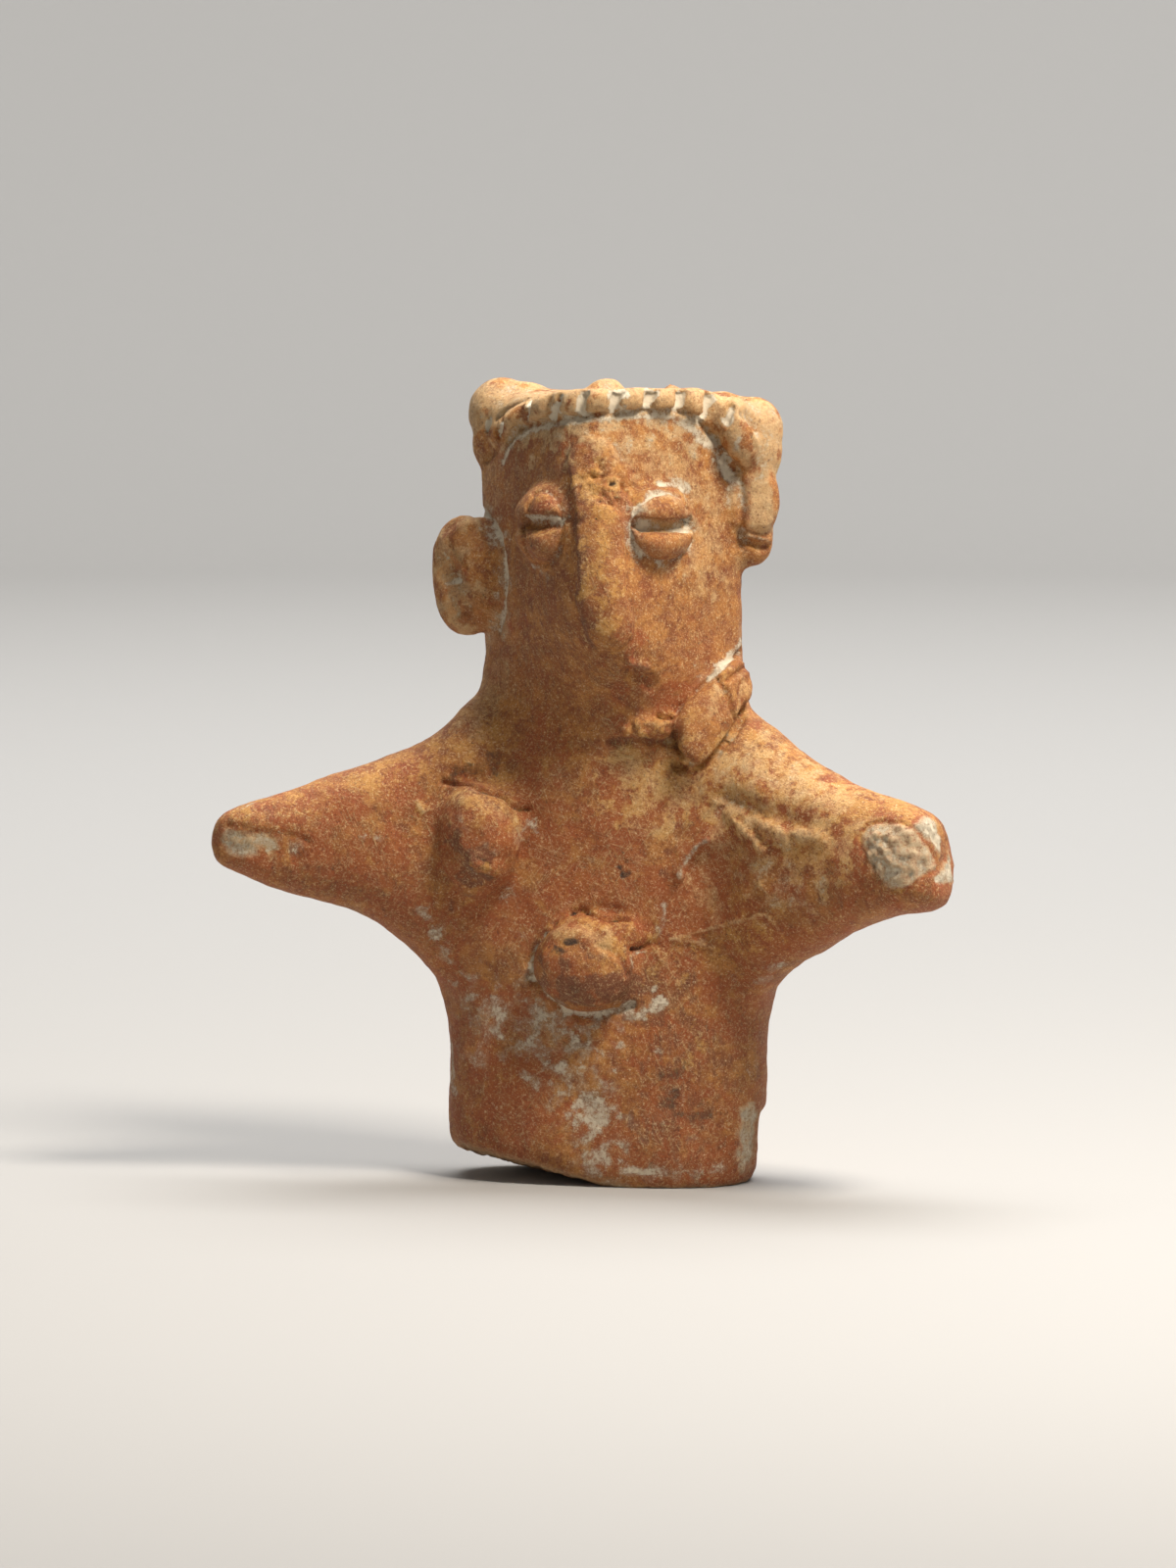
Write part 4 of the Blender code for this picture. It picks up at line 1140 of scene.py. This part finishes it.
cover = {}
for name, (leader, broken_by, strength, none, full, most) in COVERINGS.items():
    amount = uneven[broken_by]
    if leader:
        about_zero = add("ShaderNodeMath", {0: amount, 1: MIDDLE}, operation="SUBTRACT")
        amount = add(
            "ShaderNodeMath",
            {0: about_zero, 1: strength, 2: mark[leader]},
            operation="MULTIPLY_ADD",
        )
    limits = {"Value": amount, "From Min": none, "From Max": full, "To Max": most}
    cover[name] = add("ShaderNodeMapRange", limits, interpolation_type="SMOOTHSTEP")

crossed = add("ShaderNodeMath", {0: cover["scratches down"], 1: cover["scratches up"]}, operation="ADD")
crossed = add("ShaderNodeMath", {0: crossed, 1: cover["scratches across"]}, operation="ADD")
# Coverings that lie only where another value lets them
for name, first, second in (
    ("scratches", crossed, cover["where scratches lie"]),
    ("strewn white grit", cover["white grit"], cover["where white grit lies"]),
    ("broken clay", mark["broken"], cover["grain of the breaks"]),
):
    cover[name] = add("ShaderNodeMath", {0: first, 1: second}, operation="MULTIPLY")
cover["faint scratches"] = add(
    "ShaderNodeMath",
    {0: cover["scratches"], 1: SCRATCH_STRENGTH},
    operation="MULTIPLY",
)

clay = linear(CLAY_COLOUR)
for name, colour in COATS:
    layers = {AMOUNT: cover[name], BELOW: clay, ABOVE: linear(colour)}
    clay = add("ShaderNodeMix", layers, output=BLENDED, data_type="RGBA")
tree.links.new(clay, shader.inputs["Base Color"])

bumps = 0.0
for name, share in BUMPS:
    bump = cover[name] if name in cover else uneven[name]
    bumps = add("ShaderNodeMath", {0: bump, 1: share, 2: bumps}, operation="MULTIPLY_ADD")
raised = {"Strength": 1.0, "Distance": BUMP_HEIGHT, "Height": bumps}
tree.links.new(add("ShaderNodeBump", raised), shader.inputs["Normal"])
dryness = {
    "Value": uneven["fleck"],
    "From Min": ROUGHNESS_FROM,
    "From Max": ROUGHNESS_TO,
    "To Min": ROUGHNESS_LEAST,
    "To Max": ROUGHNESS_MOST,
}
dry = add("ShaderNodeMapRange", dryness, interpolation_type="SMOOTHSTEP")
tree.links.new(dry, shader.inputs["Roughness"])
shader.inputs["IOR"].default_value = FIRED_CLAY_IOR
mesh.materials.clear()
mesh.materials.append(terracotta)

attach(bust, "root")
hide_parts("terracotta_bust")

# The floor
# A plain pale sheet of matt paper that the bust stands on. It curves up into a round wall, so that no
# edge shows.

FLOOR_COLOUR = "#A6A4A1"
PAPER_ROUGHNESS = 0.9
FLOOR_RADIUS = 1300 * MM
BEND_RADIUS = 400 * MM
BEND_STEPS = 24
WALL_HEIGHT = 1500 * MM
ROUND_STEPS = 96
PAPER_SEAM_GAP = 0.01 * MM

sweep = bmesh.new()
middle = sweep.verts.new((0, 0, 0))
corner = sweep.verts.new((FLOOR_RADIUS, 0, 0))
sweep.edges.new((middle, corner))
bent = bmesh.ops.spin(
    sweep,
    geom=[corner],
    cent=(FLOOR_RADIUS, 0, BEND_RADIUS),
    axis=(0, -1, 0),
    angle=math.radians(90),
    steps=BEND_STEPS,
)
top = [piece for piece in bent["geom_last"] if isinstance(piece, bmesh.types.BMVert)]
risen = bmesh.ops.extrude_vert_indiv(sweep, verts=top)
bmesh.ops.translate(sweep, verts=risen["verts"], vec=(0, 0, WALL_HEIGHT))
bmesh.ops.spin(
    sweep,
    geom=sweep.verts[:] + sweep.edges[:],
    cent=(0, 0, 0),
    axis=(0, 0, 1),
    angle=math.radians(360),
    steps=ROUND_STEPS,
    use_merge=True,
)
bmesh.ops.remove_doubles(sweep, verts=sweep.verts, dist=PAPER_SEAM_GAP)
bmesh.ops.recalc_face_normals(sweep, faces=sweep.faces[:])
floor_mesh = bpy.data.meshes.new("floor")
sweep.to_mesh(floor_mesh)
sweep.free()
floor_mesh.shade_smooth()
floor = bpy.data.objects.new("floor", floor_mesh)
bpy.context.scene.collection.objects.link(floor)

# Matt uncoated paper, whose fibres scatter the light evenly, so the floor shows no gloss
paper = bpy.data.materials.new("pale matt paper")
paper.use_nodes = True
paper_shader = paper.node_tree.nodes["Principled BSDF"]
paper_shader.inputs["Base Color"].default_value = linear(FLOOR_COLOUR)
paper_shader.inputs["Roughness"].default_value = PAPER_ROUGHNESS
floor_mesh.materials.append(paper)

# The studio light
# A broad lamp high to the right of the camera gives the photograph's shadows, and a wide dim one in
# front and a pale sky fill them. Four more light the wall, so that it stays pale from every side.

CHEST = (0, 0, 0.05)
# Name, place in metres, side in metres, watts, colour, and the place that it is turned to
LAMPS = (
    ("key light", (0.18, -0.105, 0.35), 0.09, 1.95, "#FFF6EA", CHEST),
    ("fill light", (0.5, -0.9, 0.3), 0.8, 0.45, "#FFFFFF", CHEST),
    ("backdrop light", (0, 0.45, 1.2), 1.0, 30.0, "#FFFFFF", (0, 1.1, 0)),
    ("wall light 1", (0, -0.5, 0.9), 0.5, 6.0, "#FFFFFF", (0, -2, 1.0)),
    ("wall light 2", (0.5, 0, 0.9), 0.5, 6.0, "#FFFFFF", (2, 0, 1.0)),
    ("wall light 3", (-0.5, 0, 0.9), 0.5, 6.0, "#FFFFFF", (-2, 0, 1.0)),
)
SKY_COLOUR = "#E8E8E8"
SKY_STRENGTH = 0.06

for name, place, side, power, colour, target in LAMPS:
    light = bpy.data.lights.new(name, "AREA")
    light.size = side
    light.energy = power
    light.color = linear(colour)[:3]
    stand = bpy.data.objects.new(name, light)
    stand.location = place
    stand.rotation_euler = (Vector(target) - Vector(place)).to_track_quat("-Z", "Y").to_euler()
    bpy.context.scene.collection.objects.link(stand)

world = bpy.data.worlds.new("studio")
world.use_nodes = True
world.node_tree.nodes["Background"].inputs["Color"].default_value = linear(SKY_COLOUR)
world.node_tree.nodes["Background"].inputs["Strength"].default_value = SKY_STRENGTH
bpy.context.scene.world = world
bpy.context.scene.view_settings.view_transform = "Standard"
